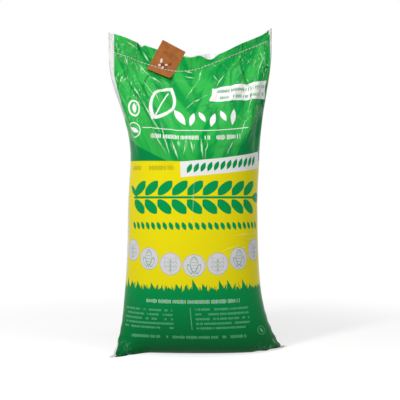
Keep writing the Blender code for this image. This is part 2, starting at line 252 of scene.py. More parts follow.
HALF_WIDTH = FLAT_WIDTH / 2
HALF_DEPTH = BODY_DEPTH / 2
HALF_SEAM = SEAM_THICKNESS / 2
STITCH_CELLS = 2 * round(FLAT_WIDTH / STITCH_PITCH / 2)
CELL = FLAT_WIDTH / STITCH_CELLS
HOLE_SHARE = HOLE_WIDTH / CELL
NEEDLE_LENGTH = 12 * TAG_THICKNESS
OUTWARD = Vector((0, -1, 0))

# Camera at the photograph's place: level, in front, long lens
CAMERA_PLACE = (0.0028, -2.10, 0.412)
CAMERA_SENSOR = 36.0
CAMERA_LENS = 68.72

# Lamps: place, the point that each aims at, and size
KEY_LAMP = ((-1.30, -1.75, 1.85), (0, 0, 0.50), (0.32, 0.32))
FILL_LAMP = ((1.7, -1.7, 1.2), (0, 0, 0.45), (0.8, 0.8))
TOP_LAMP = ((0.1, -0.5, 2.2), (0, 0, 0.7), (0.9, 0.3))
TOP_SHARE = 0.7
FLOOR_REACH = 12.0
FLOOR_DROP = 0.0004

# Sewing thread: how deep its plies' grooves are, and how far a rounded route leaves its straight legs
THREAD_PLIES = 3
THREAD_SIDES = 9
GROOVE_DEPTH = 0.16
ROUTE_SLOPE = 0.32
ROUTE_STEPS = 8

MM = 0.001

Place = collections.namedtuple("Place", "x y vector")


def ease(x):
    """Smooth step from 0 to 1 as x goes from 0 to 1."""
    x = np.clip(x, 0, 1)
    return x * x * (3 - 2 * x)


def linear(hex_colour):
    """Linear colour of an sRGB hex value."""
    parts = [int(hex_colour[i : i + 2], 16) / 255 for i in (1, 3, 5)]
    return tuple(p / 12.92 if p <= 0.04045 else ((p + 0.055) / 1.055) ** 2.4 for p in parts)


# Form of the film, as in the solids


def lip(across):
    """Length of film above the stitch line."""
    start, end = LIP_TURN
    return LIP_LEFT + (LIP_RIGHT - LIP_LEFT) * ease((across - start) / (end - start))


def stitch_up(across):
    """Where the stitch line runs, measured up the film from the base weld."""
    return FLAT_LENGTH - lip(across)


def half_depth(up, below_stitch):
    """Half the sack's depth: flat on the floor, round the toe, full, then in to the closure."""
    toe = HALF_DEPTH - FLOOR_RUN
    base = np.where(up < FLOOR_RUN, up, HALF_DEPTH - toe * np.exp(-np.maximum(up - FLOOR_RUN, 0) / toe))
    share = np.clip(below_stitch / SHOULDER_LENGTH, 0, 1)
    return np.maximum(base * np.sin(share * math.pi / 2) ** SHOULDER_POWER, HALF_SEAM)


def half_perimeter(wide, deep):
    """Half the way round an ellipse with these half axes."""
    h = ((wide - deep) / (wide + deep)) ** 2
    return math.pi / 2 * (wide + deep) * (1 + 3 * h / (10 + np.sqrt(4 - 3 * h)))


def half_width(deep, length):
    """Half width of the ellipse whose half perimeter is the film's width there."""
    low, high = np.zeros_like(deep), np.full_like(deep, FLAT_WIDTH)
    for _ in range(40):
        middle = (low + high) / 2
        short = half_perimeter(middle, deep) < length
        low, high = np.where(short, middle, low), np.where(short, high, middle)
    return (low + high) / 2


def gather(up, below_stitch):
    """Share of the film's width that small gathers take up."""
    top = TOP_GATHER * ease(1 - below_stitch / GATHER_LENGTH)
    return top + BASE_GATHER * ease(1 - up / BASE_GATHER_LENGTH)


def climb():
    """Height of the film's middle line, at fine steps up the film."""
    up = np.linspace(0, FLAT_LENGTH, CLIMB_STEPS)
    deep = half_depth(up, stitch_up(0.0) - up)
    slope = np.gradient(deep, up)
    rise = np.sqrt(np.clip(1 - slope**2, 0, 1))
    rise[up <= FLOOR_RUN] = 0
    height = np.concatenate([[0], np.cumsum((rise[1:] + rise[:-1]) / 2 * np.diff(up))])
    return up, height


CLIMB_UP, CLIMB_HEIGHT = climb()


def film_height(up):
    """Height of the film's middle line, carried straight on past the nominal edge."""
    return np.interp(up, CLIMB_UP, CLIMB_HEIGHT) + np.maximum(up - FLAT_LENGTH, 0)


def ear_share(across, up):
    """How far a film point belongs to an empty bottom corner, from 0 to 1."""
    outer = ease((np.abs(across) / HALF_WIDTH - EAR_START) / (1 - EAR_START))
    return outer * ease(1 - up / EAR_LENGTH)


def side_lift(across, up):
    """How much higher the film is towards its side edges than at its middle."""
    top = ease((up - FLAT_LENGTH + CLIMB_LENGTH) / CLIMB_LENGTH)
    base = np.interp(across, (-HALF_WIDTH, HALF_WIDTH), EAR_LIFTS) * ear_share(across, up)
    past_starts = (CLIMB_STARTS[0] - across, across - CLIMB_STARTS[1])
    rises = [s * (past + np.hypot(past, CLIMB_TURN)) / 2 for past, s in zip(past_starts, CLIMB_SLOPES)]
    return base + top * sum(rises)


def lip_meander(across):
    """How far the closure wanders behind the sack's middle plane."""
    return sum(far * (ease((across - at) / (2 * half) + 0.5) - 0.5) for at, far, half in LIP_STEPS)


def ridge_height(across, up, ridges, width):
    """Outward rise of ridges, each from one film point to another, that fade at both ends."""
    total = np.zeros(np.shape(across))
    for (across_0, up_0), (across_1, up_1), high in ridges:
        run = np.array([across_1 - across_0, up_1 - up_0])
        reach = np.hypot(*run)
        along = ((across - across_0) * run[0] + (up - up_0) * run[1]) / reach
        off = ((across - across_0) * run[1] - (up - up_0) * run[0]) / reach
        share = np.clip(along / reach, 0, 1)
        total += high * np.sin(share * math.pi) ** 0.7 * np.exp(-((off / width) ** 2))
    return total


def pucker_height(across, up):
    """In and out waves of the side edges above the base weld."""
    edge = ease((np.abs(across) / HALF_WIDTH - 1 + PUCKER_EDGE) / PUCKER_EDGE)
    fade = ease(up / PUCKER_PITCH) * ease((PUCKER_REACH - up) / PUCKER_REACH)
    return -PUCKER_DEPTH * edge * fade * (1 - np.cos(2 * math.pi * up / PUCKER_PITCH)) / 2


def film_places(across, up, front):
    """Places of film points, row by row, on the front or the back ply."""
    outward = -1.0 if front else 1.0
    places = np.empty(up.shape + (3,))
    turn = np.linspace(0, math.pi, TURN_STEPS)
    for row in range(len(up)):
        below_stitch = stitch_up(across[row]) - up[row]
        deep = half_depth(up[row], below_stitch)
        middle = float(np.median(deep))
        taken = gather(up[row], below_stitch).mean()
        wide = float(half_width(np.array([middle]), FLAT_WIDTH * (1 - taken))[0])
        steps = np.hypot(np.diff(wide * np.cos(turn)), np.diff(middle * np.sin(turn)))
        way = np.concatenate([[0], np.cumsum(steps)])
        angle = np.interp((across[row] / HALF_WIDTH + 1) / 2, way / way[-1], turn)
        round_x, round_y = np.cos(angle), np.sin(angle)
        normal = np.stack([-round_x * middle, round_y * wide])
        normal /= np.maximum(np.hypot(*normal), 1e-9)
        folds = FRONT_FOLDS if front else BACK_FOLDS
        fade = ease(below_stitch / FOLD_WIDTH / 4)
        rise = fade * ridge_height(across[row], up[row], folds, FOLD_WIDTH)
        rise += pucker_height(across[row], up[row])
        drift = BASE_DRIFT * ease(1 - up[row] / BASE_DRIFT_LENGTH)
        drift += TOP_DRIFT * ease((up[row] - SHOULDER_START) / (FLAT_LENGTH - SHOULDER_START))
        drift += SHOULDER_DRIFT * ease(1 - np.abs(up[row] - SHOULDER_DRIFT_UP) / SHOULDER_DRIFT_REACH)
        drift += np.where(across[row] < 0, *EAR_DRAWS) * ear_share(across[row], up[row])
        meander = lip_meander(across[row]) * ease(1 - below_stitch / STEP_FADE)
        meander += np.where(across[row] < 0, *EAR_SWINGS) * ear_share(across[row], up[row])
        height = film_height(up[row]) + side_lift(across[row], up[row])
        places[row, :, 0] = -wide * round_x + drift + normal[0] * rise
        places[row, :, 1] = outward * (deep * round_y + normal[1] * rise) + meander
        places[row, :, 2] = height
        edge = np.abs(across[row]) > HALF_WIDTH * (1 - 1e-6)
        places[row, edge, 1] = meander[edge]
    return places


# Fine grid of the film


def film_columns():
    """Places across the film of the grid's columns: three to a stitch, the middle one a needle hole wide."""
    cells = -HALF_WIDTH + CELL * np.arange(STITCH_CELLS)[:, None]
    shares = np.array([0, (1 - HOLE_SHARE) / 2, (1 + HOLE_SHARE) / 2])
    return np.append((cells + CELL * shares).ravel(), HALF_WIDTH)


def top_up(across, front):
    """Where a ply's cut edge runs."""
    edge = TOP_EDGE if front else TOP_EDGE + BACK_EDGE
    return FLAT_LENGTH + sum(far * ease(1 - np.abs(across - at) / half) for at, far, half in edge)


def film_rows(across, front):
    """Film lengths of the grid's rows, from the base weld to the cut edge, and the number of the hole row."""
    base = np.linspace(0, BASE_END, ROWS_BASE, endpoint=False)
    body = np.linspace(BASE_END, SHOULDER_START, ROWS_BODY, endpoint=False)
    top = np.linspace(SHOULDER_START, stitch_up(0.0) - HOLE_HEIGHT / 2, ROWS_SHOULDER)
    shares = np.concatenate([base, body, top])
    shares = shares[:, None] / shares[-1]
    below = shares * (stitch_up(across) - HOLE_HEIGHT / 2)
    start = stitch_up(across) + VALLEY_ABOVE
    above = np.linspace(0, 1, ROWS_LIP)[:, None]
    over = start * (1 - above) + top_up(across, front) * above
    hole_top = stitch_up(across)[None] + HOLE_HEIGHT / 2
    return np.concatenate([below, hole_top, over]), len(below) - 1


def fan_facets(across, up, seed):
    """Height of crumpled facets, from 0 along their creases up, drawn out from the sack's middle."""
    turn = np.arctan2(across, up - FAN_UP) * (FLAT_LENGTH - FAN_UP) * FAN_SPREAD
    reach = np.hypot(across, up - FAN_UP)
    total = np.empty(np.shape(across))
    flat = total.reshape(-1)
    for i, (t, r) in enumerate(zip(turn.flat, reach.flat)):
        near = noise.voronoi(Vector((t / FACET_ACROSS, r / FACET_ALONG, seed)))[0]
        flat[i] = near[1] - near[0]
    return total


def waves(across, up, size, seed):
    """Smooth random waves from -1 to 1."""
    total = np.empty(np.shape(across))
    flat = total.reshape(-1)
    for i, (a, u) in enumerate(zip(across.flat, up.flat)):
        flat[i] = noise.noise(Vector((a / size, u / size, seed)))
    return total


def tag_cover(places, margin):
    """How far places are covered by the tag, from 1 under it to 0 past the margin."""
    seam = seam_front(TAG_ACROSS)
    beside, above = places[..., 0] - seam.x, places[..., 2] - seam.z - TAG_ABOVE_STITCH
    local_x = beside * math.cos(TAG_TURN) - above * math.sin(TAG_TURN)
    local_y = beside * math.sin(TAG_TURN) + above * math.cos(TAG_TURN)
    off = np.maximum(np.abs(local_x) - TAG_WIDTH / 2, np.abs(local_y) - TAG_HEIGHT / 2)
    return ease(1 - off / margin)


def film_detail(across, up, places, front, crumple):
    """Outward rise of creases and crumples over the plain form."""
    below = stitch_up(across) - up
    near_seam = ease((np.abs(below) - SEAM_CLEAR) / SEAM_FADE)
    creases = FRONT_CREASES if front else BACK_CREASES
    inner = ease((HALF_WIDTH - np.abs(across)) / SIDE_FADE)
    seed = FRONT_SEED if front else BACK_SEED
    rise = ridge_height(across, up, creases, CREASE_WIDTH) * near_seam
    rise += ridge_height(across, up, HOLLOWS, HOLLOW_WIDTH) * near_seam
    top = ease((up - CRUMPLE_START) / (CRUMPLE_FULL - CRUMPLE_START))
    top = top * (CRUMPLE_AT_SEAM + (1 - CRUMPLE_AT_SEAM) * near_seam)
    top = top * np.where(below > 0, near_seam, CRUMPLE_ON_LIP)
    rise += crumple * top * (fan_facets(across, up, seed) - CRUMPLE_MIDDLE)
    rise += SAG_HEIGHT * waves(across, up, SAG_SIZE, seed) * ease(up / SAG_FADE) * near_seam
    large, small = (waves(across, up, size, seed) for size in EAR_WAVES)
    rise += EAR_CRUMPLE * ear_share(across, up) * (2 * large + small)
    if front:
        rise = rise * (1 - tag_cover(places, TAG_FADE))
    return np.where(below > 0, rise, np.maximum(rise, 0)) * inner


def outward_normals(places, front):
    """Unit normals of a ply's grid, facing out of the sack."""
    sideways = np.gradient(places, axis=1)
    upward = np.gradient(places, axis=0)
    normals = np.cross(sideways, upward) * (1 if front else -1)
    return normals / np.maximum(np.linalg.norm(normals, axis=2, keepdims=True), 1e-12)


def plain_ply(front):
    """A ply's columns, film lengths and places, before creases, and the number of the hole row."""
    across = film_columns()
    up, hole_row = film_rows(across, front)
    return across, up, film_places(np.broadcast_to(across, up.shape), up, front), hole_row


def shift_to_origin():
    """The move that stands the middle of the outline over the origin, as in the solids."""
    low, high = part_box("sack")
    places = np.concatenate([plain_ply(front)[2].reshape(-1, 3) for front in (True, False)])
    middle = (places.min(axis=0) + places.max(axis=0)) / 2
    return (np.array(low) + np.array(high)) / 2 * (1, 1, 0) - middle * (1, 1, 0)


SHIFT = shift_to_origin()
PLAIN_FRONT, PLAIN_BACK = plain_ply(True), plain_ply(False)
for ply in (PLAIN_FRONT, PLAIN_BACK):
    ply[2][...] += SHIFT
HOLE_ROW = PLAIN_FRONT[3]


def dressed_ply(front, sizes):
    """Places of a ply's grid with creases, crumples and the splay of its free lip, kept above the floor."""
    across, up, places, _ = PLAIN_FRONT if front else PLAIN_BACK
    wide = np.broadcast_to(across, up.shape)
    covered = tag_cover(places, LIP_TAG_FADE) if front else 0
    rise = film_detail(wide, up, places, front, sizes.crumple)
    places = places + outward_normals(places, front) * rise[..., None]
    beyond = np.maximum(up - stitch_up(across) - VALLEY_ABOVE, 0) / lip(across)
    wave = waves(wide, up * 0, LIP_WAVE, FRONT_LIP_SEED if front else BACK_LIP_SEED)
    splay = sizes.lip_splay * beyond**LIP_CURL * (0.55 + 0.9 * wave)
    splay *= ease((HALF_WIDTH - np.abs(wide)) / LIP_SIDE_FADE)
    splay *= 1 - covered
    places[..., 1] += -splay if front else splay
    places[..., 2] = np.maximum(places[..., 2], 0)
    return places


# Mesh of the film


def grid_numbers(first, rows, columns):
    """Vertex numbers of a grid that starts at the given one."""
    return first + np.arange(rows * columns).reshape(rows, columns)


def quads(a, b, c, d):
    """Faces from four arrays of corners."""
    return np.stack([a, b, c, d], axis=-1).reshape(-1, 4)


def film_mesh(sizes):
    """Mesh of both plies, joined at their sides and base, open at the top down to the valley between them."""
    front, back = dressed_ply(True, sizes), dressed_ply(False, sizes)
    rows, columns = front.shape[:2]
    sides = (front[:, [0, -1]] + back[:, [0, -1]]) / 2
    front[:, [0, -1]] = back[:, [0, -1]] = sides
    valley = HOLE_ROW + 2
    inside_front = front[valley:] + (0, PLY_THICKNESS, 0)
    inside_back = back[valley:] - (0, PLY_THICKNESS, 0)
    inside_front[0] = inside_back[0] = (front[valley] + back[valley]) / 2
    away = np.array([PLY_THICKNESS, 0, 0])
    inside_front[:, 0] = inside_back[:, 0] = front[valley:, 0] + away
    inside_front[:, -1] = inside_back[:, -1] = front[valley:, -1] - away

    outer = grid_numbers(0, rows, columns)
    behind = grid_numbers(rows * columns, rows, columns)
    deep = rows - valley
    inner = grid_numbers(2 * rows * columns, deep, columns)
    inner_back = grid_numbers(2 * rows * columns + deep * columns, deep, columns)
    behind[:, [0, -1]] = outer[:, [0, -1]]
    inner_back[:, [0, -1]] = inner[:, [0, -1]]
    inner_back[0] = inner[0]

    front_faces = quads(outer[:-1, :-1], outer[:-1, 1:], outer[1:, 1:], outer[1:, :-1])
    back_faces = quads(behind[:-1, :-1], behind[1:, :-1], behind[1:, 1:], behind[:-1, 1:])
    hole_columns = 3 * np.arange(1, STITCH_CELLS - 1) + 1
    holes = HOLE_ROW * (columns - 1) + hole_columns
    front_faces, back_faces = np.delete(front_faces, holes, 0), np.delete(back_faces, holes, 0)

    low, high = HOLE_ROW, HOLE_ROW + 1
    ring = [(low, 0), (low, 1), (high, 1), (high, 0)]
    tubes = []
    for (row_0, step_0), (row_1, step_1) in zip(ring, ring[1:] + ring[:1]):
        a, b = outer[row_0, hole_columns + step_0], outer[row_1, hole_columns + step_1]
        tubes.append(quads(a, b, behind[row_1, hole_columns + step_1], behind[row_0, hole_columns + step_0]))
    inside = [
        quads(inner[:-1, :-1], inner[1:, :-1], inner[1:, 1:], inner[:-1, 1:]),
        quads(inner_back[:-1, :-1], inner_back[:-1, 1:], inner_back[1:, 1:], inner_back[1:, :-1]),
        quads(outer[-1, :-1], outer[-1, 1:], inner[-1, 1:], inner[-1, :-1]),
        quads(behind[-1, 1:], behind[-1, :-1], inner_back[-1, :-1], inner_back[-1, 1:]),
    ]
    weld = quads(outer[0, :-1], behind[0, :-1], behind[0, 1:], outer[0, 1:])
    groups = [front_faces, back_faces, *tubes, weld, *inside]
    vertices = np.concatenate([layer.reshape(-1, 3) for layer in (front, back, inside_front, inside_back)])
    faces = np.concatenate(groups)
    used = np.unique(faces)
    new_number = np.full(len(vertices), -1)
    new_number[used] = np.arange(len(used))

    mesh = bpy.data.meshes.new("printed_film")
    polygons = [list(dict.fromkeys(face)) for face in new_number[faces].tolist()]
    mesh.from_pydata(vertices[used].tolist(), [], polygons)
    printed = len(front_faces) + len(back_faces) + sum(map(len, tubes)) + len(weld)
    mesh.polygons.foreach_set("material_index", np.repeat([0, 1], [printed, len(faces) - printed]))
    mark_flat_places(mesh, used, len(front_faces))
    mesh.shade_smooth()
    return mesh


def mark_flat_places(mesh, used, front_faces):
    """UV map that holds each corner's place on the flat film in millimetres, seen from its own side."""
    flat = []
    for across, up, *_ in (PLAIN_FRONT, PLAIN_BACK):
        flat.append(np.stack([np.broadcast_to(across, up.shape), up], axis=-1).reshape(-1, 2))
    lip_rows = PLAIN_FRONT[1].shape[0] - HOLE_ROW - 2
    for ply in list(flat):
        flat.append(ply[-lip_rows * len(PLAIN_FRONT[0]) :])
    flat = np.concatenate(flat)[used] / MM
    corners = np.empty(len(mesh.loops), np.int32)
    mesh.loops.foreach_get("vertex_index", corners)
    starts = np.empty(len(mesh.polygons), np.int32)
    mesh.polygons.foreach_get("loop_start", starts)
    places = flat[corners]
    places[starts[front_faces] :, 0] *= -1
    mesh.uv_layers.new(name="flat_mm").data.foreach_set("uv", places.ravel())


# Materials


def add_node(tree, kind, *inputs, sockets=None, **settings):
    """Adds a node with its settings, and fills or links its inputs in order or by name."""
    made = tree.nodes.new(kind)
    for name, value in settings.items():
        setattr(made, name, value)
    shown = [socket for socket in made.inputs if socket.enabled]
    for socket, value in [*zip(shown, inputs), *((made.inputs[n], v) for n, v in (sockets or {}).items())]:
        if isinstance(value, bpy.types.NodeSocket):
            tree.links.new(value, socket)
        elif value is not None:
            socket.default_value = value
    return next((socket for socket in made.outputs if socket.enabled), None)


def new_material(name):
    """Empty node material, and its node tree."""
    made = bpy.data.materials.new(name)
    made.use_nodes = True
    tree = made.node_tree
    tree.nodes.clear()
    return made, tree


def finish_material(tree, shader):
    """Links a shader to the material's output."""
    add_node(tree, "ShaderNodeOutputMaterial", shader)


def flat_place(tree, uv_map):
    """The place on a sheet laid flat, in millimetres: its two lengths, and both as a vector."""
    vector = add_node(tree, "ShaderNodeUVMap", uv_map=uv_map)
    ways = add_node(tree, "ShaderNodeSeparateXYZ", vector).node.outputs
    return Place(ways["X"], ways["Y"], vector)


def math_node(tree, operation, *inputs, **settings):
    """Adds a node of arithmetic."""
    return add_node(tree, "ShaderNodeMath", *inputs, operation=operation, **settings)


def ramp(tree, *limits):
    """Carries a value from one range over to another, held at both ends."""
    return add_node(tree, "ShaderNodeMapRange", *limits)


def smooth_ramp(tree, *limits):
    """A ramp that starts and ends softly."""
    return add_node(tree, "ShaderNodeMapRange", *limits, interpolation_type="SMOOTHSTEP")


def flat_noise(tree, vector, scale, detail):
    """Clouds of random grey on a flat sheet."""
    return add_node(tree, "ShaderNodeTexNoise", vector, scale, detail, noise_dimensions="2D")


def own_ways(tree, place, centre, size, turn):
    """The place in a shape's own turned frame, in halves of the shape's size."""
    cos, sin = math.cos(turn), math.sin(turn)
    ways = []
    for (a, b), length in zip(((cos, sin), (-sin, cos)), size):
        start = -(centre[0] * a + centre[1] * b)
        near = math_node(tree, "MULTIPLY_ADD", place.y, b * 2 / length, start * 2 / length)
        ways.append(math_node(tree, "MULTIPLY_ADD", place.x, a * 2 / length, near))
    return ways


def oval(tree, place, centre, size, turn=0.0, soft=0.1):
    """Mask of an oval, solid or rising softly from its rim to its middle."""
    beside, above = own_ways(tree, place, centre, size, turn)
    far = math_node(tree, "MULTIPLY_ADD", beside, beside, math_node(tree, "MULTIPLY", above, above))
    return ramp(tree, far, 1.0, 1.0 - soft, 0.0, 1.0)


def bar(tree, place, centre, size, turn=0.0):
    """Mask of a filled bar."""
    beside, above = own_ways(tree, place, centre, size, turn)
    far = math_node(tree, "MAXIMUM", math_node(tree, "ABSOLUTE", beside), math_node(tree, "ABSOLUTE", above))
    return ramp(tree, far, 1.0, 0.98, 0.0, 1.0)


def lens(tree, place, centre, size, turn=0.0, soft=0.08):
    """Mask of a pointed leaf, solid or rising softly from its rim to its middle."""
    beside, above = own_ways(tree, place, centre, size, turn)
    far = math_node(tree, "MULTIPLY_ADD", above, above, math_node(tree, "ABSOLUTE", beside))
    return ramp(tree, far, 1.0, 1.0 - soft, 0.0, 1.0)


def outline_of(tree, shape, place, centre, size, line, turn=0.0):
    """Mask of a shape's outline."""
    inner = (size[0] - 2 * line, size[1] - 2 * line * size[1] / size[0])
    whole, hole = shape(tree, place, centre, size, turn), shape(tree, place, centre, inner, turn)
    return add_node(tree, "ShaderNodeMath", whole, hole, operation="SUBTRACT", use_clamp=True)


def union(tree, *masks):
    """One mask from several."""
    total = masks[0]
    for mask in masks[1:]:
        total = add_node(tree, "ShaderNodeMath", total, mask, operation="MAXIMUM")
    return total


def blend(tree, share, first, second):
    """The mix of two plain colours."""
    return add_node(tree, "ShaderNodeMix", share, (*first, 1), (*second, 1), data_type="RGBA")


def shaded(tree, colour, shade):
    """A plain colour made darker by a grey share."""
    grey = add_node(tree, "ShaderNodeCombineColor", shade, shade, shade)
    return add_node(tree, "ShaderNodeMix", 1.0, (*colour, 1), grey, data_type="RGBA", blend_type="MULTIPLY")


def paint(tree, below, colour, mask):
    """The colour laid over what is below it."""
    if not isinstance(colour, bpy.types.NodeSocket):
        colour = (*colour, 1)
    return add_node(tree, "ShaderNodeMix", mask, below, colour, data_type="RGBA")


# Strokes of the small rows: strokes in a group, seed, and the chance that one is left out
STROKE_CHANCES = ((1.0, 0.5, 0.1), (4.0, 0.25, 0.08))
STROKE_SHARE = 0.62


def print_rows(tree, place, corner, size, rows, group_width, turn=0.0):
    """Mask of rows of short upright strokes in groups of uneven length, like small print seen from far."""
    beside, above = own_ways(tree, place, corner, (2 * group_width, 2 * size[1] / rows), turn)
    row = math_node(tree, "FLOOR", above)
    shifted = math_node(tree, "MULTIPLY_ADD", row, 0.37, beside)
    total = bar(tree, place, Matrix.Rotation(turn, 2) @ Vector(size) / 2 + Vector(corner), size, turn)
    for strokes, seed, least in STROKE_CHANCES:
        along = math_node(tree, "MULTIPLY", shifted, strokes)
        number = math_node(tree, "FLOOR", along)
        cell = math_node(tree, "MULTIPLY_ADD", row, 57.3, math_node(tree, "ADD", number, corner[0] + seed))
        chance = add_node(tree, "ShaderNodeTexWhiteNoise", noise_dimensions="1D", sockets={"W": cell})
        total = math_node(tree, "MULTIPLY", total, math_node(tree, "GREATER_THAN", chance, least))
    tall = ramp(tree, chance, 0.0, 1.0, 0.16, 0.27)
    height = math_node(tree, "SUBTRACT", above, row)
    total = math_node(tree, "MULTIPLY", total, math_node(tree, "COMPARE", height, 0.5, tall))
    inked = math_node(tree, "LESS_THAN", math_node(tree, "FRACT", along), STROKE_SHARE)
    return math_node(tree, "MULTIPLY", total, inked)


def repeated(tree, place, start, pitch, count, turn=0.0, mirror=False):
    """Place measured from the nearest of a row of copies, and the number of that copy."""
    beside, above = own_ways(tree, place, start, (2, 2), turn)
    number = math_node(tree, "ROUND", math_node(tree, "DIVIDE", beside, pitch))
    number = add_node(tree, "ShaderNodeClamp", number, 0, count - 1)
    beside = math_node(tree, "MULTIPLY_ADD", number, -pitch, beside)
    if mirror:
        above = math_node(tree, "ABSOLUTE", above)
    return Place(beside, above, None), number


def grass(tree, place, base, pitch, height, lean, seed):
    """Mask of a row of pointed blades of uneven height that stand on a line, or hang at a negative height."""
    above = math_node(tree, "SUBTRACT", place.y, base)
    share = math_node(tree, "DIVIDE", math_node(tree, "MULTIPLY_ADD", above, lean, place.x), pitch)
    blade = math_node(tree, "ADD", math_node(tree, "FLOOR", share), 0.5 + 101 * seed)
    chance = add_node(tree, "ShaderNodeTexWhiteNoise", noise_dimensions="1D", sockets={"W": blade})
    tall = ramp(tree, chance, 0.0, 1.0, 0.6 * abs(height), 2.0 * abs(height))
    limit = math_node(tree, "MULTIPLY", math_node(tree, "PINGPONG", share, 0.5), tall)
    reach = math_node(tree, "MULTIPLY", above, math.copysign(1, height))
    over = math_node(tree, "SUBTRACT", limit, reach)
    return ramp(tree, over, -0.5, 0.5, 0.0, 1.0)


def below_line(tree, place, line, soft=0.5):
    """Mask of all that lies below a height."""
    return ramp(tree, place.y, line + soft, line - soft, 0.0, 1.0)


# Print of the film, in millimetres from the film's middle line and from the base weld
FIELD_TOP = 586
GRASS_BASE = 258
LIGHT_GRASS_BASE = 246
GREEN_GRASS_BASE = 245
LIGHT_BLADES = ((9, 26, -0.3, 3), (14, 30, 0.25, 7))
GREEN_BLADES = ((23, 40, 0.3, 1), (13, 27, -0.25, 2), (9, 20, 0.15, 4))
EMBLEM_LEAF = ((-84, 757), (74, 142))
EMBLEM_TURN = math.radians(-24)
EMBLEM_GRAINS = (
    ((-38, 712), (22, 62), 28),
    ((-4, 704), (15, 46), -18),
    ((24, 712), (14, 38), 22),
    ((52, 702), (16, 48), -22),
    ((82, 712), (14, 40), 16),
    ((110, 704), (16, 50), -14),
)
PANEL_TURN = math.radians(-11)
BANNER_TURN = math.radians(5.4)
BADGES = ((-172, 721), (-174, 661))
EAR_START_AT, EAR_PITCH, EAR_GRAINS = (-154, 494), 40.0, 9
ROUNDEL_PITCH, ROUNDELS = 62.0, 7
ROUNDEL_SIZE = (60, 60)
BARE_CORNERS = (((-252, 20), (44, 136)), ((256, 12), (56, 124)), ((250, 936), (20, 60)))
# Long creases of the film, given in film millimetres with their widths: bumped, and painted pale as partly
# stress whitening and partly painted highlight
CREASE_LINES = (
    ((-168, 872), (-128, 838), 4.8),
    ((-130, 840), (-82, 822), 4.2),
    ((-146, 820), (-104, 768), 3.8),
    ((-173, 794), (-144, 750), 4.2),
    ((-146, 756), (-86, 652), 5.8),
    ((-136, 706), (-70, 598), 4.8),
    ((-92, 690), (-62, 590), 3.8),
    ((-62, 640), (-40, 586), 6.4),
    ((-24, 636), (-30, 600), 3.6),
    ((-10, 642), (-6, 606), 5.0),
    ((2, 634), (-8, 610), 3.0),
    ((14, 655), (22, 590), 5.8),
    ((34, 650), (26, 588), 3.8),
    ((108, 640), (82, 600), 4.8),
    ((107, 862), (68, 820), 5.8),
    ((52, 804), (-26, 736), 5.4),
    ((26, 860), (-22, 770), 3.5),
    ((86, 838), (66, 866), 3.5),
    ((36, 890), (22, 850), 4.2),
    ((-22, 866), (14, 864), 4.8),
    ((-20, 882), (8, 880), 5.1),
    ((-150, 905), (-128, 880), 7.2),
    ((-198, 912), (-164, 906), 4.8),
    ((-205, 880), (-188, 846), 4.2),
    ((196, 826), (150, 700), 3.5),
    ((232, 872), (196, 812), 3.8),
    ((152, 700), (120, 640), 3.2),
    ((4, 584), (0, 400), 3.8),
    ((118, 354), (168, 366), 3.5),
    ((96, 392), (214, 402), 3.5),
    ((120, 322), (176, 340), 4.2),
    ((62, 350), (142, 372), 3.4),
    ((140, 378), (212, 392), 3.6),
    ((-150, 756), (-178, 700), 4.0),
    ((-112, 800), (-92, 744), 3.6),
)


def print_fields(tree, place, look):
    """The fields of colour: green with bands of painted fold shade and darker lower corners, yellow, and
    under grass a green that darkens towards the base, partly print and partly painted shade.
    """
    side = math_node(tree, "ABSOLUTE", place.x)
    # Clouds drawn out in a V along the folds, darkening the green in bands: painted shade of the folds
    across = math_node(tree, "MULTIPLY_ADD", side, 0.85 / 30, math_node(tree, "MULTIPLY", place.y, -0.5 / 30))
    along = math_node(tree, "MULTIPLY_ADD", place.y, 0.85 / 170, math_node(tree, "MULTIPLY", place.x, 0.013))
    pulled = add_node(tree, "ShaderNodeCombineXYZ", across, along)
    clouds = flat_noise(tree, pulled, 1.0, 2.0)
    tone = ramp(tree, clouds, 0.38, 0.58, 0.0, 1.0)
    colour = blend(tree, tone, look.upper_fold_shade, look.upper_green)
    corners = bar(tree, place, (-201, 572), (260, 120), math.radians(-20.6))
    corners = union(tree, corners, bar(tree, place, (228, 626), (320, 160), math.radians(56)))
    colour = paint(tree, colour, look.upper_corner, corners)
    colour = paint(tree, colour, look.yellow, below_line(tree, place, FIELD_TOP))
    for blades in LIGHT_BLADES:
        colour = paint(tree, colour, look.grass_light, grass(tree, place, LIGHT_GRASS_BASE, *blades))
    hanging = grass(tree, place, GRASS_BASE, 11, -11, 0.25, 5)
    hanging = union(tree, hanging, grass(tree, place, GRASS_BASE, 17, -16, -0.2, 6))
    green = math_node(tree, "SUBTRACT", below_line(tree, place, GRASS_BASE), hanging, use_clamp=True)
    green = union(tree, green, below_line(tree, place, GREEN_GRASS_BASE))
    for blades in GREEN_BLADES:
        green = union(tree, green, grass(tree, place, GREEN_GRASS_BASE, *blades))
    # Darker towards the base: partly a print gradient, partly painted shade where the sack curves under
    base_shade = ramp(tree, place.y, 40.0, GRASS_BASE, 0.0, 1.0)
    return paint(tree, colour, blend(tree, base_shade, look.lower_base_shade, look.lower_green), green)


def print_emblem(tree, place, colour, look):
    """White outlined leaf and solid grains, with a thin rule and a row of strokes under them."""
    total = outline_of(tree, lens, place, *EMBLEM_LEAF, 8, EMBLEM_TURN)
    total = union(tree, total, bar(tree, place, (-86, 752), (3.5, 96), EMBLEM_TURN))
    for centre, size, lean in EMBLEM_GRAINS:
        total = union(tree, total, lens(tree, place, centre, size, math.radians(lean)))
    total = union(tree, total, bar(tree, place, (0, 669), (300, 2.0)))
    total = union(tree, total, print_rows(tree, place, (-124, 636), (250, 25), 1, 15))
    return paint(tree, colour, look.white, total)


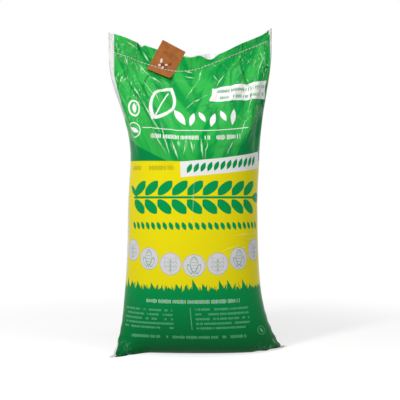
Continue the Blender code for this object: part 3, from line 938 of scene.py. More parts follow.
def print_panels(tree, place, colour, look):
    """White panel with two rows of strokes, tilted white banner with grains, and two oval badges."""
    colour = paint(tree, colour, look.white, bar(tree, place, (142, 779), (176, 54), PANEL_TURN))
    rows = print_rows(tree, place, (68, 768), (152, 46), 2, 12, PANEL_TURN)
    colour = paint(tree, colour, look.dark_green, rows)
    colour = paint(tree, colour, look.white, bar(tree, place, (90, 577), (254, 40), BANNER_TURN))
    nearest, _ = repeated(tree, place, (-12, 568), 17.6, 12, BANNER_TURN)
    colour = paint(tree, colour, look.dark_green, lens(tree, nearest, (0, 0), (13, 27), math.radians(-28)))
    upper, lower = BADGES
    badges = union(tree, oval(tree, place, upper, (36, 50)), oval(tree, place, lower, (38, 40)))
    colour = paint(tree, colour, look.white, badges)
    middles = union(tree, oval(tree, place, upper, (27, 39)), oval(tree, place, lower, (33, 35)))
    colour = paint(tree, colour, look.upper_green, middles)
    marks = union(tree, lens(tree, place, upper, (13, 30)), lens(tree, place, lower, (12, 30), 1.2))
    return paint(tree, colour, look.white, marks)


def print_ear(tree, place, colour, look):
    """Bold ear of grain that lies across the yellow field, with a row of seeds under it."""
    start, height = EAR_START_AT
    nearest, _ = repeated(tree, place, EAR_START_AT, EAR_PITCH, EAR_GRAINS, mirror=True)
    grain = oval(tree, nearest, (0, 24), (54, 27), math.radians(38))
    stalk = bar(tree, place, (8, height), (380, 6))
    tip = lens(tree, place, (start + EAR_PITCH * EAR_GRAINS + 2, height), (28, 56), math.radians(90))
    leaf = lens(tree, place, (-182, height + 17), (15, 50), math.radians(50))
    seeds, _ = repeated(tree, place, (-174, 420), 17.0, 23)
    seed = lens(tree, seeds, (0, 0), (12, 24), math.radians(24))
    colour = paint(tree, colour, look.dark_green, union(tree, grain, stalk, tip, leaf, seed))
    faint = print_rows(tree, place, (-196, 557), (148, 24), 1, 14)
    return paint(tree, colour, look.yellow_ink, faint)


def print_roundels(tree, place, colour, look):
    """Row of pale roundels on a shallow arc, each with a drawn sprig or cob."""
    nearest, number = repeated(tree, place, (-181.0, 318.0), ROUNDEL_PITCH, ROUNDELS)
    off = math_node(tree, "SUBTRACT", number, (ROUNDELS - 1) / 2)
    above = math_node(tree, "MULTIPLY_ADD", math_node(tree, "MULTIPLY", off, off), -4.0, nearest.y)
    local = Place(nearest.x, above, None)
    colour = paint(tree, colour, look.roundel, oval(tree, local, (0, 0), ROUNDEL_SIZE))
    colour = paint(tree, colour, look.outline, outline_of(tree, oval, local, (0, 0), ROUNDEL_SIZE, 1.2))
    folded = Place(math_node(tree, "ABSOLUTE", nearest.x), above, None)
    sprig = [bar(tree, local, (0, -4), (1.4, 38))]
    for high in (-12, -1, 10):
        sprig.append(outline_of(tree, oval, folded, (9, high), (19, 9), 1.1, math.radians(38)))
    cob = [outline_of(tree, oval, local, (0, 3), (21, 42), 1.2), bar(tree, local, (0, -22), (1.4, 10))]
    cob += [bar(tree, local, (0, high), (14, 1.0)) for high in (-8, 0, 8, 16)]
    cob.append(outline_of(tree, oval, folded, (11, -9), (11, 28), 1.1, math.radians(-22)))
    odd = math_node(tree, "MODULO", number, 2.0)
    drawn = add_node(tree, "ShaderNodeMix", odd, union(tree, *sprig), union(tree, *cob), data_type="FLOAT")
    return paint(tree, colour, look.outline_green, drawn)


def print_small_rows(tree, place, colour, look):
    """Pale rows of strokes, a rule and a ring on the lower field."""
    heading = print_rows(tree, place, (-140, 212), (270, 22), 1, 13)
    colour = paint(tree, colour, look.heading_ink, heading)
    rows = [
        print_rows(tree, place, (-206, 143), (152, 62), 5, 9),
        print_rows(tree, place, (4, 143), (150, 66), 5, 9),
        print_rows(tree, place, (-182, 112), (320, 20), 1, 11),
        bar(tree, place, (-7, 176), (2.0, 62)),
        outline_of(tree, oval, place, (187, 134), (27, 27), 1.6),
        lens(tree, place, (187, 134), (8, 18), 0.5),
    ]
    return paint(tree, colour, look.pale_ink, union(tree, *rows))


def hump(tree, along, centre, half):
    """Smooth rise from 0 to 1 and back along one direction."""
    off = math_node(tree, "ABSOLUTE", math_node(tree, "SUBTRACT", along, centre))
    return smooth_ramp(tree, off, half, 0.0, 0.0, 1.0)


def print_margins(tree, place, colour, look):
    """Bare film along both sides of the print and at the tips of the lower corners."""
    left = math_node(tree, "MULTIPLY_ADD", hump(tree, place.y, 400, 240), 22.0, -233.5)
    left = math_node(tree, "MULTIPLY_ADD", hump(tree, place.y, 735, 80), 14.0, left)
    past = math_node(tree, "SUBTRACT", left, place.x)
    bare = ramp(tree, past, -0.6, 0.6, 0.0, 1.0)
    bare = union(tree, bare, ramp(tree, place.x, 244.4, 245.6, 0.0, 1.0))
    for centre, size in BARE_CORNERS:
        bare = union(tree, bare, oval(tree, place, centre, size))
    return paint(tree, colour, look.bare_film, bare)


def creases(tree, place):
    """Mask of the long thin creases that run down from the closure, a little crooked."""
    bend = flat_noise(tree, place.vector, 0.045, 2.0)
    bend = math_node(tree, "SUBTRACT", bend, 0.5)
    beside = math_node(tree, "MULTIPLY_ADD", bend, 7.0, place.x)
    above = math_node(tree, "MULTIPLY_ADD", bend, -7.0, place.y)
    crooked = Place(beside, above, None)
    total = None
    for start, end, width in CREASE_LINES:
        run = Vector(end) - Vector(start)
        middle = (Vector(end) + Vector(start)) / 2
        line = lens(tree, crooked, middle, (width, run.length), math.atan2(-run.x, run.y), soft=1.0)
        total = line if total is None else union(tree, total, line)
    return total


def crinkles(tree, place):
    """Heights of the crinkles of handled film, and where they lie: by the closure and in the corners."""
    top = smooth_ramp(tree, place.y, 600.0, 780.0, 0.0, 1.0)
    base = smooth_ramp(tree, place.y, 120.0, 50.0, 0.0, 1.0)
    side = math_node(tree, "ABSOLUTE", place.x)
    top = math_node(tree, "MULTIPLY", top, ramp(tree, side, 50.0, 170.0, 0.3, 1.0))
    base = math_node(tree, "MULTIPLY", base, ramp(tree, side, 150.0, 215.0, 0.0, 1.0))
    where = union(tree, top, base)
    warp = flat_noise(tree, place.vector, 0.03, 2.0).node.outputs["Color"]
    warp = add_node(tree, "ShaderNodeVectorMath", warp, operation="SCALE", sockets={"Scale": 24.0})
    moved = add_node(tree, "ShaderNodeVectorMath", place.vector, warp, operation="ADD")
    heights = []
    for size, tall, seed in ((30.0, 0.9, 0.0), (11.0, 0.5, 31.0)):
        cells = add_node(tree, "ShaderNodeMapping", moved, (seed, seed, 0), None, (1 / size, 0.45 / size, 1))
        edge = add_node(
            tree, "ShaderNodeTexVoronoi", cells, 1.0, voronoi_dimensions="2D", feature="DISTANCE_TO_EDGE"
        )
        crest = smooth_ramp(tree, edge, 0.09, 0.0, 0.0, 1.0)
        heights.append(math_node(tree, "MULTIPLY", crest, tall))
    patches = flat_noise(tree, place.vector, 0.03, 3.0)
    patches = ramp(tree, patches, 0.46, 0.58, 0.0, 1.0)
    return math_node(tree, "MULTIPLY", math_node(tree, "ADD", *heights), patches), where


def glints(tree, place, where):
    """Mask of painted glints: short pale specks of painted highlight, in patches by the film's top corners.
    """
    stretched = add_node(tree, "ShaderNodeMapping", place.vector, None, (0, 0, 0.5), (0.20, 0.09, 1))
    specks = flat_noise(tree, stretched, 1.0, 3.0)
    specks = ramp(tree, specks, 0.61, 0.74, 0.0, 0.9)
    glint_patches = flat_noise(tree, place.vector, 0.022, 2.0)
    glint_patches = ramp(tree, glint_patches, 0.46, 0.56, 0.1, 1.0)
    side = ramp(tree, math_node(tree, "ABSOLUTE", place.x), 60.0, 190.0, 0.1, 1.0)
    specks = math_node(tree, "MULTIPLY", math_node(tree, "MULTIPLY", specks, glint_patches), side)
    return math_node(tree, "MULTIPLY", specks, where)


def facets(tree, place):
    """Height of flat facets that tilt this way and that, drawn out along the pull of the closure."""
    turned = add_node(tree, "ShaderNodeMapping", place.vector, None, (0, 0, 0.25), (1 / 40, 1 / 85, 1))
    cells = add_node(
        tree,
        "ShaderNodeTexVoronoi",
        turned,
        voronoi_dimensions="2D",
        feature="SMOOTH_F1",
        sockets={"Scale": 1.0, "Smoothness": 0.4},
    ).node.outputs
    away = add_node(tree, "ShaderNodeVectorMath", turned, cells["Position"], operation="SUBTRACT")
    tilt = add_node(tree, "ShaderNodeVectorMath", cells["Color"], (0.5, 0.5, 0.5), operation="SUBTRACT")
    return add_node(tree, "ShaderNodeVectorMath", away, tilt, operation="DOT_PRODUCT").node.outputs["Value"]


def film_bump(tree, place, lines, total, where):
    """Relief of the film: long creases, crinkles at its top and corners, and the feed felt through it."""
    soft = flat_noise(tree, place.vector, 0.05, 3.0)
    total = math_node(tree, "MULTIPLY_ADD", soft, 2.0, total)
    total = math_node(tree, "MULTIPLY_ADD", facets(tree, place), 16.0, total)
    total = math_node(tree, "MULTIPLY_ADD", lines, 0.7, math_node(tree, "MULTIPLY", total, where))
    pellets = flat_noise(tree, place.vector, 0.16, 1.0)
    total = math_node(tree, "MULTIPLY_ADD", pellets, 0.06, total)
    return add_node(tree, "ShaderNodeBump", sockets={"Height": total, "Distance": MM, "Strength": 1.0})


def printed_film_material(look):
    """Blown LDPE film, flexo printed: smooth with a soft gloss; its creases and crinkle crests are painted
    pale, partly stress whitening and partly painted highlight, with painted glints by its top corners.
    """
    made, tree = new_material("blown_ldpe_film_printed")
    place = flat_place(tree, "flat_mm")
    colour = print_fields(tree, place, look)
    for layer in (print_emblem, print_panels, print_ear, print_roundels, print_small_rows, print_margins):
        colour = layer(tree, place, colour, look)
    lines = creases(tree, place)
    total, where = crinkles(tree, place)
    # Pale paint on the crinkle crests and the long creases: partly the whitening of stress in the film,
    # partly painted highlight, with less of it on the yellow field
    whitening_and_glints = ramp(tree, math_node(tree, "MULTIPLY", total, where), 0.3, 1.2, 0.0, 0.3)
    share = ramp(tree, place.y, FIELD_TOP - 40, FIELD_TOP + 10, 0.35, 1.15)
    whitening_and_glints = math_node(tree, "MULTIPLY_ADD", lines, share, whitening_and_glints, use_clamp=True)
    patches = flat_noise(tree, place.vector, 0.07, 2.0)
    patches = ramp(tree, patches, 0.38, 0.58, 0.5, 1.0)
    # Pale specks by the top corners: painted glints, highlights painted into the colour
    whitening_and_glints = union(tree, whitening_and_glints, glints(tree, place, where))
    colour = paint(tree, colour, look.whitening_and_glints, math_node(tree, "MULTIPLY", whitening_and_glints, patches))
    scuffs = flat_noise(tree, place.vector, 0.05, 4.0)
    rough = ramp(tree, scuffs, 0.3, 0.75, 0.16, 0.32)
    shader = add_node(
        tree,
        "ShaderNodeBsdfPrincipled",
        sockets={
            "Base Color": colour,
            "Roughness": rough,
            "IOR": 1.51,
            "Specular IOR Level": 0.05,
            "Normal": film_bump(tree, place, lines, total, where),
        },
    )
    finish_material(tree, shader)
    return made


def bare_film_material(look):
    """Unprinted inner side of the white LDPE film: milky, a little greyer than the print's white."""
    made, tree = new_material("blown_ldpe_film_bare")
    place = flat_place(tree, "flat_mm")
    clouds = flat_noise(tree, place.vector, 0.04, 3.0)
    colour = shaded(tree, look.bare_film, ramp(tree, clouds, 0.3, 0.7, 0.88, 1.0))
    bump = film_bump(tree, place, creases(tree, place), *crinkles(tree, place))
    shader = add_node(
        tree,
        "ShaderNodeBsdfPrincipled",
        sockets={"Base Color": colour, "Roughness": 0.38, "IOR": 1.51, "Normal": bump},
    )
    finish_material(tree, shader)
    return made


def thread_material(colour):
    """Spun polyester sewing thread, twisted: matt, with fibres that catch light softly."""
    made, tree = new_material("spun_polyester_thread")
    place = add_node(tree, "ShaderNodeTexCoord").node.outputs["Object"]
    fibres = add_node(tree, "ShaderNodeTexNoise", place, 2500.0, 2.0)
    mixed = shaded(tree, colour, ramp(tree, fibres, 0.3, 0.7, 0.8, 1.0))
    bump = add_node(tree, "ShaderNodeBump", sockets={"Height": fibres, "Distance": 0.1 * MM, "Strength": 0.6})
    shader = add_node(
        tree,
        "ShaderNodeBsdfPrincipled",
        sockets={"Base Color": mixed, "Roughness": 0.75, "Normal": bump, "Sheen Weight": 0.3},
    )
    finish_material(tree, shader)
    return made


def card_material(look):
    """Kraft card, pressed and offset printed: matt brown with fibres, dark dashes and a small picture."""
    made, tree = new_material("kraft_card_printed")
    place = flat_place(tree, "card_mm")
    stretched = add_node(tree, "ShaderNodeMapping", place.vector, None, None, (0.25, 1.6, 1))
    fibres = flat_noise(tree, stretched, 0.8, 4.0)
    clouds = flat_noise(tree, place.vector, 0.06, 3.0)
    mixed = add_node(tree, "ShaderNodeMath", fibres, clouds, operation="ADD")
    tone = ramp(tree, mixed, 0.7, 1.3, 0.0, 1.0)
    colour = blend(tree, tone, look.card_dark, look.card)
    rows = union(
        tree,
        print_rows(tree, place, (-27, 30), (18, 9), 2, 3),
        print_rows(tree, place, (-18, 10), (42, 15), 3, 4),
    )
    colour = paint(tree, colour, look.card_ink, rows)
    darks = [oval(tree, place, (-2, -13), (24, 9), 0.2), oval(tree, place, (14, -3), (7, 11), -0.4)]
    darks.append(oval(tree, place, (8, -19), (11, 6), 0.3))
    colour = paint(tree, colour, look.card_dark_print, union(tree, *darks))
    pales = [oval(tree, place, (-12, -5), (7, 14), 0.3), oval(tree, place, (-11, -18), (7, 8))]
    pales += [oval(tree, place, (0, -20), (6, 8), -0.3), oval(tree, place, (5, -9), (9, 5), 0.5)]
    colour = paint(tree, colour, look.card_pale_print, union(tree, *pales))
    relief = {"Height": fibres, "Distance": 0.15 * MM, "Strength": 0.7}
    bump = add_node(tree, "ShaderNodeBump", sockets=relief)
    shader = add_node(
        tree,
        "ShaderNodeBsdfPrincipled",
        sockets={"Base Color": colour, "Roughness": 0.72, "Specular IOR Level": 0.2, "Normal": bump},
    )
    finish_material(tree, shader)
    return made


def stage_material(colour):
    """Pale matt board: the camera sees it white, with the sack's shadow on it."""
    made, tree = new_material("pale_matt_board")
    place = add_node(tree, "ShaderNodeTexCoord").node.outputs["Object"]
    grain = add_node(tree, "ShaderNodeTexNoise", place, 60.0, 3.0)
    shade = ramp(tree, grain, 0.3, 0.7, 0.97, 1.0)
    grey = add_node(tree, "ShaderNodeCombineColor", shade, shade, shade)
    tone = add_node(tree, "ShaderNodeMix", 1.0, (*colour, 1), grey, data_type="RGBA", blend_type="MULTIPLY")
    board = add_node(tree, "ShaderNodeBsdfDiffuse", tone)
    seen_board = add_node(tree, "ShaderNodeBsdfDiffuse", (0.45, 0.45, 0.45, 1))
    glow = add_node(tree, "ShaderNodeEmission", (1, 1, 1, 1), 0.66)
    lit = add_node(tree, "ShaderNodeAddShader", seen_board, glow)
    far = add_node(tree, "ShaderNodeVectorMath", place, operation="LENGTH")
    beyond = smooth_ramp(tree, far, 0.5, 1.3, 0.0, 1.0)
    white = add_node(tree, "ShaderNodeEmission", (1, 1, 1, 1), 1.0)
    seen = add_node(tree, "ShaderNodeMixShader", beyond, lit, white)
    shader = add_node(tree, "ShaderNodeMixShader", background_rays(tree), board, seen)
    finish_material(tree, shader)
    return made


def background_rays(tree):
    """1 for the rays that show the background: from the camera, and by way of gloss or glass."""
    rays = add_node(tree, "ShaderNodeLightPath").node.outputs
    return union(tree, rays["Is Camera Ray"], rays["Is Glossy Ray"], rays["Is Transmission Ray"])


# Thread and tag


def on_film(ply, across, up):
    """Place on a ply's facets, carried straight on above its top edge."""
    columns, grid_up, places, _ = ply
    left = int(np.clip(np.searchsorted(columns, across) - 1, 0, len(columns) - 2))
    share = (across - columns[left]) / (columns[left + 1] - columns[left])
    ups = grid_up[:, left] * (1 - share) + grid_up[:, left + 1] * share
    row = int(np.clip(np.searchsorted(ups, up) - 1, 0, len(ups) - 2))
    rise = (up - ups[row]) / (ups[row + 1] - ups[row])
    low = places[row, left] * (1 - share) + places[row, left + 1] * share
    high = places[row + 1, left] * (1 - share) + places[row + 1, left + 1] * share
    return Vector(low * (1 - rise) + high * rise)


def front_normal(across, up, step):
    """Outward direction of the front ply."""
    sideways = on_film(PLAIN_FRONT, across + step, up) - on_film(PLAIN_FRONT, across - step, up)
    upward = on_film(PLAIN_FRONT, across, up + step) - on_film(PLAIN_FRONT, across, up - step)
    return sideways.cross(upward).normalized()


def seam_front(across):
    """Place on the front of the stitch line."""
    return on_film(PLAIN_FRONT, across, float(stitch_up(across)))


def stitch_holes():
    """Film points of the needle holes, left to right."""
    at = [-HALF_WIDTH + (c + 0.5) * CELL for c in range(1, STITCH_CELLS - 1)]
    return [(across, float(stitch_up(across))) for across in at]


def seam_place(across, up, out):
    """Place at a distance in front of the closed seam's middle, or behind it where out is negative."""
    step = CELL / 2
    beside = (-step, 0, step)
    plies = (PLAIN_FRONT, PLAIN_BACK)
    middle = [sum((on_film(ply, across + s, up) for ply in plies), Vector()) / 2 for s in beside]
    normal = front_normal(across, up, step)
    turn = (middle[1] - middle[0]).angle(middle[2] - middle[1], 0)
    return middle[1] + normal * (out / math.cos(turn / 2))


def thread_route(thick, bend):
    """Way of the thread: over the front, down each hole, round the next loop's legs, and up again."""
    leg = LEG_SPACING / 2
    near = SEAM_THICKNESS / 2 + LOOSE_GAP + thick / 2
    far = near + thick + LOOSE_GAP
    loop_end = CELL + thick + LOOSE_GAP
    loop_side = leg + thick + LOOSE_GAP
    points = []
    for across, up in stitch_holes():
        over = near
        seam = seam_front(across)
        if tag_cover(np.array(seam), 2 * CELL) > 0:
            middle, _, falling = tag_frame()
            over += TAG_THICKNESS + LOOSE_GAP + tag_bend((seam - middle).dot(falling), bend)[1]
        beside_above_out = (
            (0, -leg, over),
            (0, -leg, -far),
            (loop_end, -loop_side, -near),
            (loop_end, loop_side, -near),
            (0, leg, -far),
            (0, leg, over),
            (CELL / 2, 0, over),
        )
        points += [seam_place(across + beside, up + above, out) for beside, above, out in beside_above_out]
    return np.array(points[:-1])


def smooth_route(points, steps):
    """The route rounded off, with more points and none of the corners cut by more than a little."""
    ahead, behind = np.roll(points, -1, axis=0), np.roll(points, 1, axis=0)
    ahead[-1], behind[0] = points[-1], points[0]
    slopes = (ahead - behind) * ROUTE_SLOPE
    share = (np.arange(steps) / steps)[:, None, None]
    a, b = points[:-1], points[1:]
    curve = a * (1 + 2 * share) * (1 - share) ** 2 + slopes[:-1] * share * (1 - share) ** 2
    curve += b * share**2 * (3 - 2 * share) + slopes[1:] * share**2 * (share - 1)
    return np.concatenate([curve.transpose(1, 0, 2).reshape(-1, 3), points[-1:]])


def twisted_tube(route, thick, lay):
    """Vertices and faces of a tube whose section has one lobe for each twisted ply."""
    along = np.gradient(route, axis=0)
    along /= np.linalg.norm(along, axis=1, keepdims=True)
    way = np.concatenate([[0], np.cumsum(np.linalg.norm(np.diff(route, axis=0), axis=1))])
    sideways = np.empty_like(route)
    last = np.cross(along[0], (0, 0, 1))
    for i, direction in enumerate(along):
        last = last - direction * last.dot(direction)
        last = last / np.linalg.norm(last)
        sideways[i] = last
    upward = np.cross(along, sideways)
    turn = np.linspace(0, 2 * math.pi, THREAD_SIDES, endpoint=False)
    groove = np.abs(np.sin(THREAD_PLIES / 2 * (turn + (2 * math.pi / lay) * way[:, None])))
    lobes = 1 - GROOVE_DEPTH * groove
    reach = thick / 2 * lobes
    rings = route[:, None] + sideways[:, None] * (reach * np.cos(turn))[..., None]
    rings = rings + upward[:, None] * (reach * np.sin(turn))[..., None]
    number = grid_numbers(0, len(route), THREAD_SIDES)
    after = np.roll(number, -1, axis=1)
    faces = quads(number[:-1], after[:-1], after[1:], number[1:]).tolist()
    faces += [number[0, ::-1].tolist(), number[-1].tolist()]
    return rings.reshape(-1, 3), faces


def tag_frame():
    """Middle of the tag's bend line, its direction, and the direction down from it."""
    left, right = seam_front(TAG_BEND_FROM), seam_front(TAG_BEND_TO)
    along = (right - left).normalized()
    return (left + right) / 2, along, along.cross(OUTWARD)


def tag_bend(below, bend):
    """How far down and forward the card reaches below its bend line, and how far it is turned there."""
    turn = min(max(below, 0) / TAG_BEND_RADIUS, bend)
    straight = below - turn * TAG_BEND_RADIUS
    down = TAG_BEND_RADIUS * math.sin(turn) + straight * math.cos(turn)
    forward = TAG_BEND_RADIUS * (1 - math.cos(turn)) + straight * math.sin(turn)
    return down, forward, turn


def tag_place(local_x, local_y, out, bend):
    """Place of a point of the tag, at a height over its back."""
    turned = Matrix.Rotation(-TAG_TURN, 2) @ Vector((local_x, local_y))
    flat = seam_front(TAG_ACROSS) + Vector((turned.x, 0, turned.y + TAG_ABOVE_STITCH))
    middle, along, falling = tag_frame()
    away = flat - middle
    down, forward, turn = tag_bend(away.dot(falling), bend)
    face = OUTWARD * math.cos(turn) - falling * math.sin(turn)
    place = middle + along * away.dot(along) + falling * down
    return place + OUTWARD * (forward + LOOSE_GAP) + face * out


def tag_mesh(bend):
    """Mesh of the card, a thin bent sheet, with its flat place in millimetres as UV."""
    shape = bmesh.new()
    flat = shape.loops.layers.uv.new("card_mm")
    columns = np.linspace(-TAG_WIDTH / 2, TAG_WIDTH / 2, TAG_CELLS[0] + 1)
    rows = np.linspace(-TAG_HEIGHT / 2, TAG_HEIGHT / 2, TAG_CELLS[1] + 1)
    local = {}
    layers = []
    for out in (0, TAG_THICKNESS):
        layer = [[shape.verts.new(tag_place(x, y, out, bend)) for x in columns] for y in rows]
        local.update({v: (x / MM, y / MM) for y, row in zip(rows, layer) for x, v in zip(columns, row)})
        layers.append(layer)
    behind, front = layers
    for j in range(TAG_CELLS[1]):
        for i in range(TAG_CELLS[0]):
            shape.faces.new((front[j][i], front[j][i + 1], front[j + 1][i + 1], front[j + 1][i]))
            shape.faces.new((behind[j][i], behind[j + 1][i], behind[j + 1][i + 1], behind[j][i + 1]))
    bmesh.ops.bridge_loops(shape, edges=[e for e in shape.edges if e.is_boundary])
    bmesh.ops.recalc_face_normals(shape, faces=shape.faces)
    for face in shape.faces:
        for loop in face.loops:
            loop[flat].uv = local[loop.vert]
    mesh = bpy.data.meshes.new("kraft_tag")
    shape.to_mesh(mesh)
    shape.free()
    return mesh


def punch_needle_holes(tag):
    """Cuts the needle holes of the closing stitch through the card, like those of the solid."""
    shape = bmesh.new()
    for across, up in stitch_holes():
        seam = seam_front(across)
        if tag_cover(np.array(seam), HOLE_WIDTH) <= 0:
            continue
        normal = front_normal(across, up, CELL / 2)
        sideways = normal.cross(Vector((0, 0, 1))).normalized() * -1
        turn = Matrix((sideways, normal, normal.cross(sideways))).transposed().to_4x4()
        size = Matrix.Diagonal((HOLE_WIDTH, NEEDLE_LENGTH, HOLE_HEIGHT, 1))
        bmesh.ops.create_cube(shape, size=1, matrix=Matrix.Translation(seam) @ turn @ size)
    bmesh.ops.recalc_face_normals(shape, faces=shape.faces)
    mesh = bpy.data.meshes.new("needle_cutter")
    shape.to_mesh(mesh)
    shape.free()
    needle = bpy.data.objects.new("needle_cutter", mesh)
    bpy.context.scene.collection.objects.link(needle)
    cut = tag.modifiers.new("needle_holes", "BOOLEAN")
    cut.operation = "DIFFERENCE"
    cut.solver = "EXACT"
    cut.object = needle
    punched = bpy.data.meshes.new_from_object(tag.evaluated_get(bpy.context.evaluated_depsgraph_get()))
    tag.modifiers.clear()
    tag.data = punched
    bpy.data.objects.remove(needle)


def add_object(name, mesh, *looks):
    """Links a mesh to the scene as one named object with its materials."""
    made = bpy.data.objects.new(name, mesh)
    for look in looks:
        made.data.materials.append(look)
    bpy.context.scene.collection.objects.link(made)
    return made


def colour_property(name, description, hex_colour):
    """Colour setting with its default given as an sRGB hex value."""
    return bpy.props.FloatVectorProperty(
        name=name, description=description, subtype="COLOR", size=3, min=0, max=1, default=linear(hex_colour)
    )


class SackFilmSettings(bpy.types.PropertyGroup):
    crumple: bpy.props.FloatProperty(
        name="Crumple",
        description="Height of the small facets under the closure",
        default=0.0075,
        unit="LENGTH",
    )
    lip_splay: bpy.props.FloatProperty(
        name="Lip splay",
        description="How far each ply's cut edge stands off the closure",
        default=0.006,
        unit="LENGTH",
    )
    upper_green: colour_property("Upper green", "Lightest green of the upper field", "#30AC4A")
    # Green of the bands of painted fold shade over the upper field
    upper_fold_shade: colour_property("Upper deep", "Deepest green of the upper field", "#04903D")
    upper_corner: colour_property("Upper corner", "Lower corners of the upper field", "#008141")
    yellow: colour_property("Yellow", "Middle field", "#E6D70F")
    yellow_ink: colour_property("Yellow ink", "Faint strokes on the middle field", "#AAA51C")
    lower_green: colour_property("Lower green", "Lower field under the grass", "#008B47")
    # Green at the base: partly print, partly painted shade where the sack curves under
    lower_base_shade: colour_property("Lower dark", "Lower field at the base", "#005A2A")
    grass_light: colour_property("Light grass", "Light blades", "#B4BC1E")
    dark_green: colour_property("Dark green", "Ear, seeds and strokes", "#00924A")
    white: colour_property("White", "White of the print", "#E8E7E6")
    # Pale colour of creases and crinkle crests, partly stress whitening and partly painted highlight, and of
    # the painted glints
    whitening_and_glints: colour_property("Stressed film", "Whitened creases", "#DAF1D0")
    roundel: colour_property("Roundel", "Fill of the roundels", "#D4CFD5")
    outline: colour_property("Outline", "Rim of the roundels", "#86A892")
    outline_green: colour_property("Drawn line", "Line of the sprigs and cobs", "#5DA57A")
    heading_ink: colour_property("Heading ink", "First row on the lower field", "#9CCBA9")
    pale_ink: colour_property("Pale ink", "Small rows on the lower field", "#5FAE81")
    bare_film: colour_property("Bare film", "Film without print", "#D8D7D5")


class SackThreadSettings(bpy.types.PropertyGroup):
    diameter: bpy.props.FloatProperty(
        name="Diameter", description="Thread thickness", default=0.0010, unit="LENGTH"
    )
    lay: bpy.props.FloatProperty(name="Lay", description="Length of one twist", default=0.0042, unit="LENGTH")
    colour: colour_property("Colour", "Thread", "#DEE3CE")


class SackTagSettings(bpy.types.PropertyGroup):
    bend: bpy.props.FloatProperty(
        name="Bend",
        description="How far the card is bent forward below the thread",
        default=math.radians(48),
        subtype="ANGLE",
    )
    card: colour_property("Card", "Light fibres", "#A4632F")
    card_dark: colour_property("Card shade", "Dark fibres", "#8E5123")
    card_ink: colour_property("Card ink", "Strokes", "#6B3413")
    card_dark_print: colour_property("Dark print", "Dark shapes of the drawn picture", "#6A352A")
    card_pale_print: colour_property("Pale print", "Pale shapes of the drawn picture", "#D8C8B4")


class SackStageSettings(bpy.types.PropertyGroup):
    floor: colour_property("Floor", "Board under the sack", "#DDDDDB")
    key_power: bpy.props.FloatProperty(
        name="Key", description="Power of the key lamp", default=44.0, unit="POWER"
    )
    fill_power: bpy.props.FloatProperty(
        name="Fill", description="Power of the fill lamp", default=12.5, unit="POWER"
    )
    world_level: bpy.props.FloatProperty(
        name="World", description="Strength of the room's light", default=0.22
    )


class SACK_OT_film(bpy.types.Operator):
    """Makes the printed film of the filled sack"""

    bl_idname = "feed_sack.film"
    bl_label = "Printed film"

    def execute(self, context):
        look = context.scene.sack_film
        looks = printed_film_material(look), bare_film_material(look)
        film = add_object("printed_film", film_mesh(look), *looks)
        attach(film, "root")
        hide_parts("sack")
        return {"FINISHED"}


class SACK_OT_thread(bpy.types.Operator):
    """Makes the chain-stitched closing thread"""

    bl_idname = "feed_sack.thread"
    bl_label = "Closing thread"

    def execute(self, context):
        look = context.scene.sack_thread
        route = smooth_route(thread_route(look.diameter, context.scene.sack_tag.bend), ROUTE_STEPS)
        vertices, faces = twisted_tube(route, look.diameter, look.lay)
        mesh = bpy.data.meshes.new("sewing_thread")
        mesh.from_pydata(vertices.tolist(), [], faces)
        mesh.shade_smooth()
        thread = add_object("sewing_thread", mesh, thread_material(look.colour))
        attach(thread, "root")
        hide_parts("closing_thread")
        return {"FINISHED"}


class SACK_OT_tag(bpy.types.Operator):
    """Makes the card tag caught under the stitches"""

    bl_idname = "feed_sack.tag"
    bl_label = "Card tag"

    def execute(self, context):
        look = context.scene.sack_tag
        tag = add_object("kraft_tag", tag_mesh(look.bend), card_material(look))
        punch_needle_holes(tag)
        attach(tag, "root")
        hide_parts("card_tag")
        return {"FINISHED"}


def add_lamp(name, setting, power):
    """Soft area lamp aimed at a point."""
    place, target, size = setting
    data = bpy.data.lights.new(name, "AREA")
    data.shape = "RECTANGLE"
    data.size, data.size_y = size
    data.energy = power
    lamp = bpy.data.objects.new(name, data)
    lamp.location = place
    lamp.rotation_euler = (Vector(target) - Vector(place)).to_track_quat("-Z", "Y").to_euler()
    bpy.context.scene.collection.objects.link(lamp)


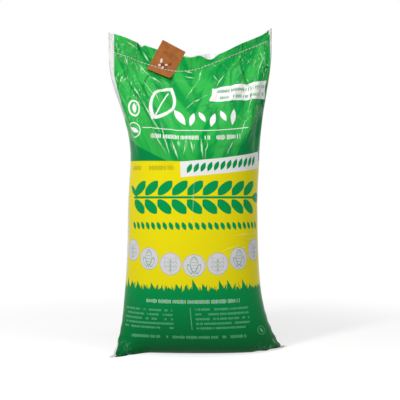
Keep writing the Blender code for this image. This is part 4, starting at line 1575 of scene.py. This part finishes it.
class SACK_OT_stage(bpy.types.Operator):
    """Makes the floor, the lamps, the world and the camera"""

    bl_idname = "feed_sack.stage"
    bl_label = "Stage"

    def execute(self, context):
        look = context.scene.sack_stage
        scene = context.scene
        mesh = bpy.data.meshes.new("floor")
        signs = ((-1, -1), (1, -1), (1, 1), (-1, 1))
        corners = [(x * FLOOR_REACH, y * FLOOR_REACH, -FLOOR_DROP) for x, y in signs]
        mesh.from_pydata(corners, [], [(0, 1, 2, 3)])
        add_object("floor", mesh, stage_material(look.floor))
        add_lamp("key_lamp", KEY_LAMP, look.key_power)
        add_lamp("fill_lamp", FILL_LAMP, look.fill_power)
        add_lamp("top_lamp", TOP_LAMP, TOP_SHARE * look.fill_power)
        world = bpy.data.worlds.new("pale_room")
        world.use_nodes = True
        tree = world.node_tree
        tree.nodes.clear()
        soft = add_node(tree, "ShaderNodeBackground", (1, 1, 1, 1), look.world_level)
        white = add_node(tree, "ShaderNodeBackground", (1, 1, 1, 1), 1.0)
        seen = add_node(tree, "ShaderNodeMixShader", background_rays(tree), soft, white)
        add_node(tree, "ShaderNodeOutputWorld", seen)
        scene.world = world
        data = bpy.data.cameras.new("camera")
        data.sensor_width = CAMERA_SENSOR
        data.lens = CAMERA_LENS
        camera = bpy.data.objects.new("camera", data)
        camera.location = CAMERA_PLACE
        camera.rotation_euler = (math.pi / 2, 0, 0)
        scene.collection.objects.link(camera)
        scene.camera = camera
        scene.view_settings.view_transform = "Standard"
        return {"FINISHED"}


class SACK_PT_panel(bpy.types.Panel):
    """Lists the sack's pieces"""

    bl_idname = "SACK_PT_panel"
    bl_label = "Feed sack"
    bl_space_type = "VIEW_3D"
    bl_region_type = "UI"
    bl_category = "Feed sack"

    def draw(self, context):
        for settings, operator in SETTINGS_OF_OPERATORS:
            box = self.layout.box()
            box.operator(operator.bl_idname)
            group = getattr(context.scene, settings)
            for name in group.bl_rna.properties.keys():
                if name not in ("rna_type", "name"):
                    box.prop(group, name)


SETTINGS_OF_OPERATORS = (
    ("sack_stage", SACK_OT_stage),
    ("sack_film", SACK_OT_film),
    ("sack_thread", SACK_OT_thread),
    ("sack_tag", SACK_OT_tag),
)
GROUPS = {
    "sack_stage": SackStageSettings,
    "sack_film": SackFilmSettings,
    "sack_thread": SackThreadSettings,
    "sack_tag": SackTagSettings,
}
CLASSES = (*GROUPS.values(), *(operator for _, operator in SETTINGS_OF_OPERATORS), SACK_PT_panel)


def register():
    for made in CLASSES:
        bpy.utils.register_class(made)
    for name, group in GROUPS.items():
        setattr(bpy.types.Scene, name, bpy.props.PointerProperty(type=group))


def unregister():
    for name in GROUPS:
        delattr(bpy.types.Scene, name)
    for made in reversed(CLASSES):
        bpy.utils.unregister_class(made)


def main():
    register()
    bpy.ops.feed_sack.stage()
    bpy.ops.feed_sack.film()
    bpy.ops.feed_sack.thread()
    bpy.ops.feed_sack.tag()


if __name__ == "__main__":
    main()
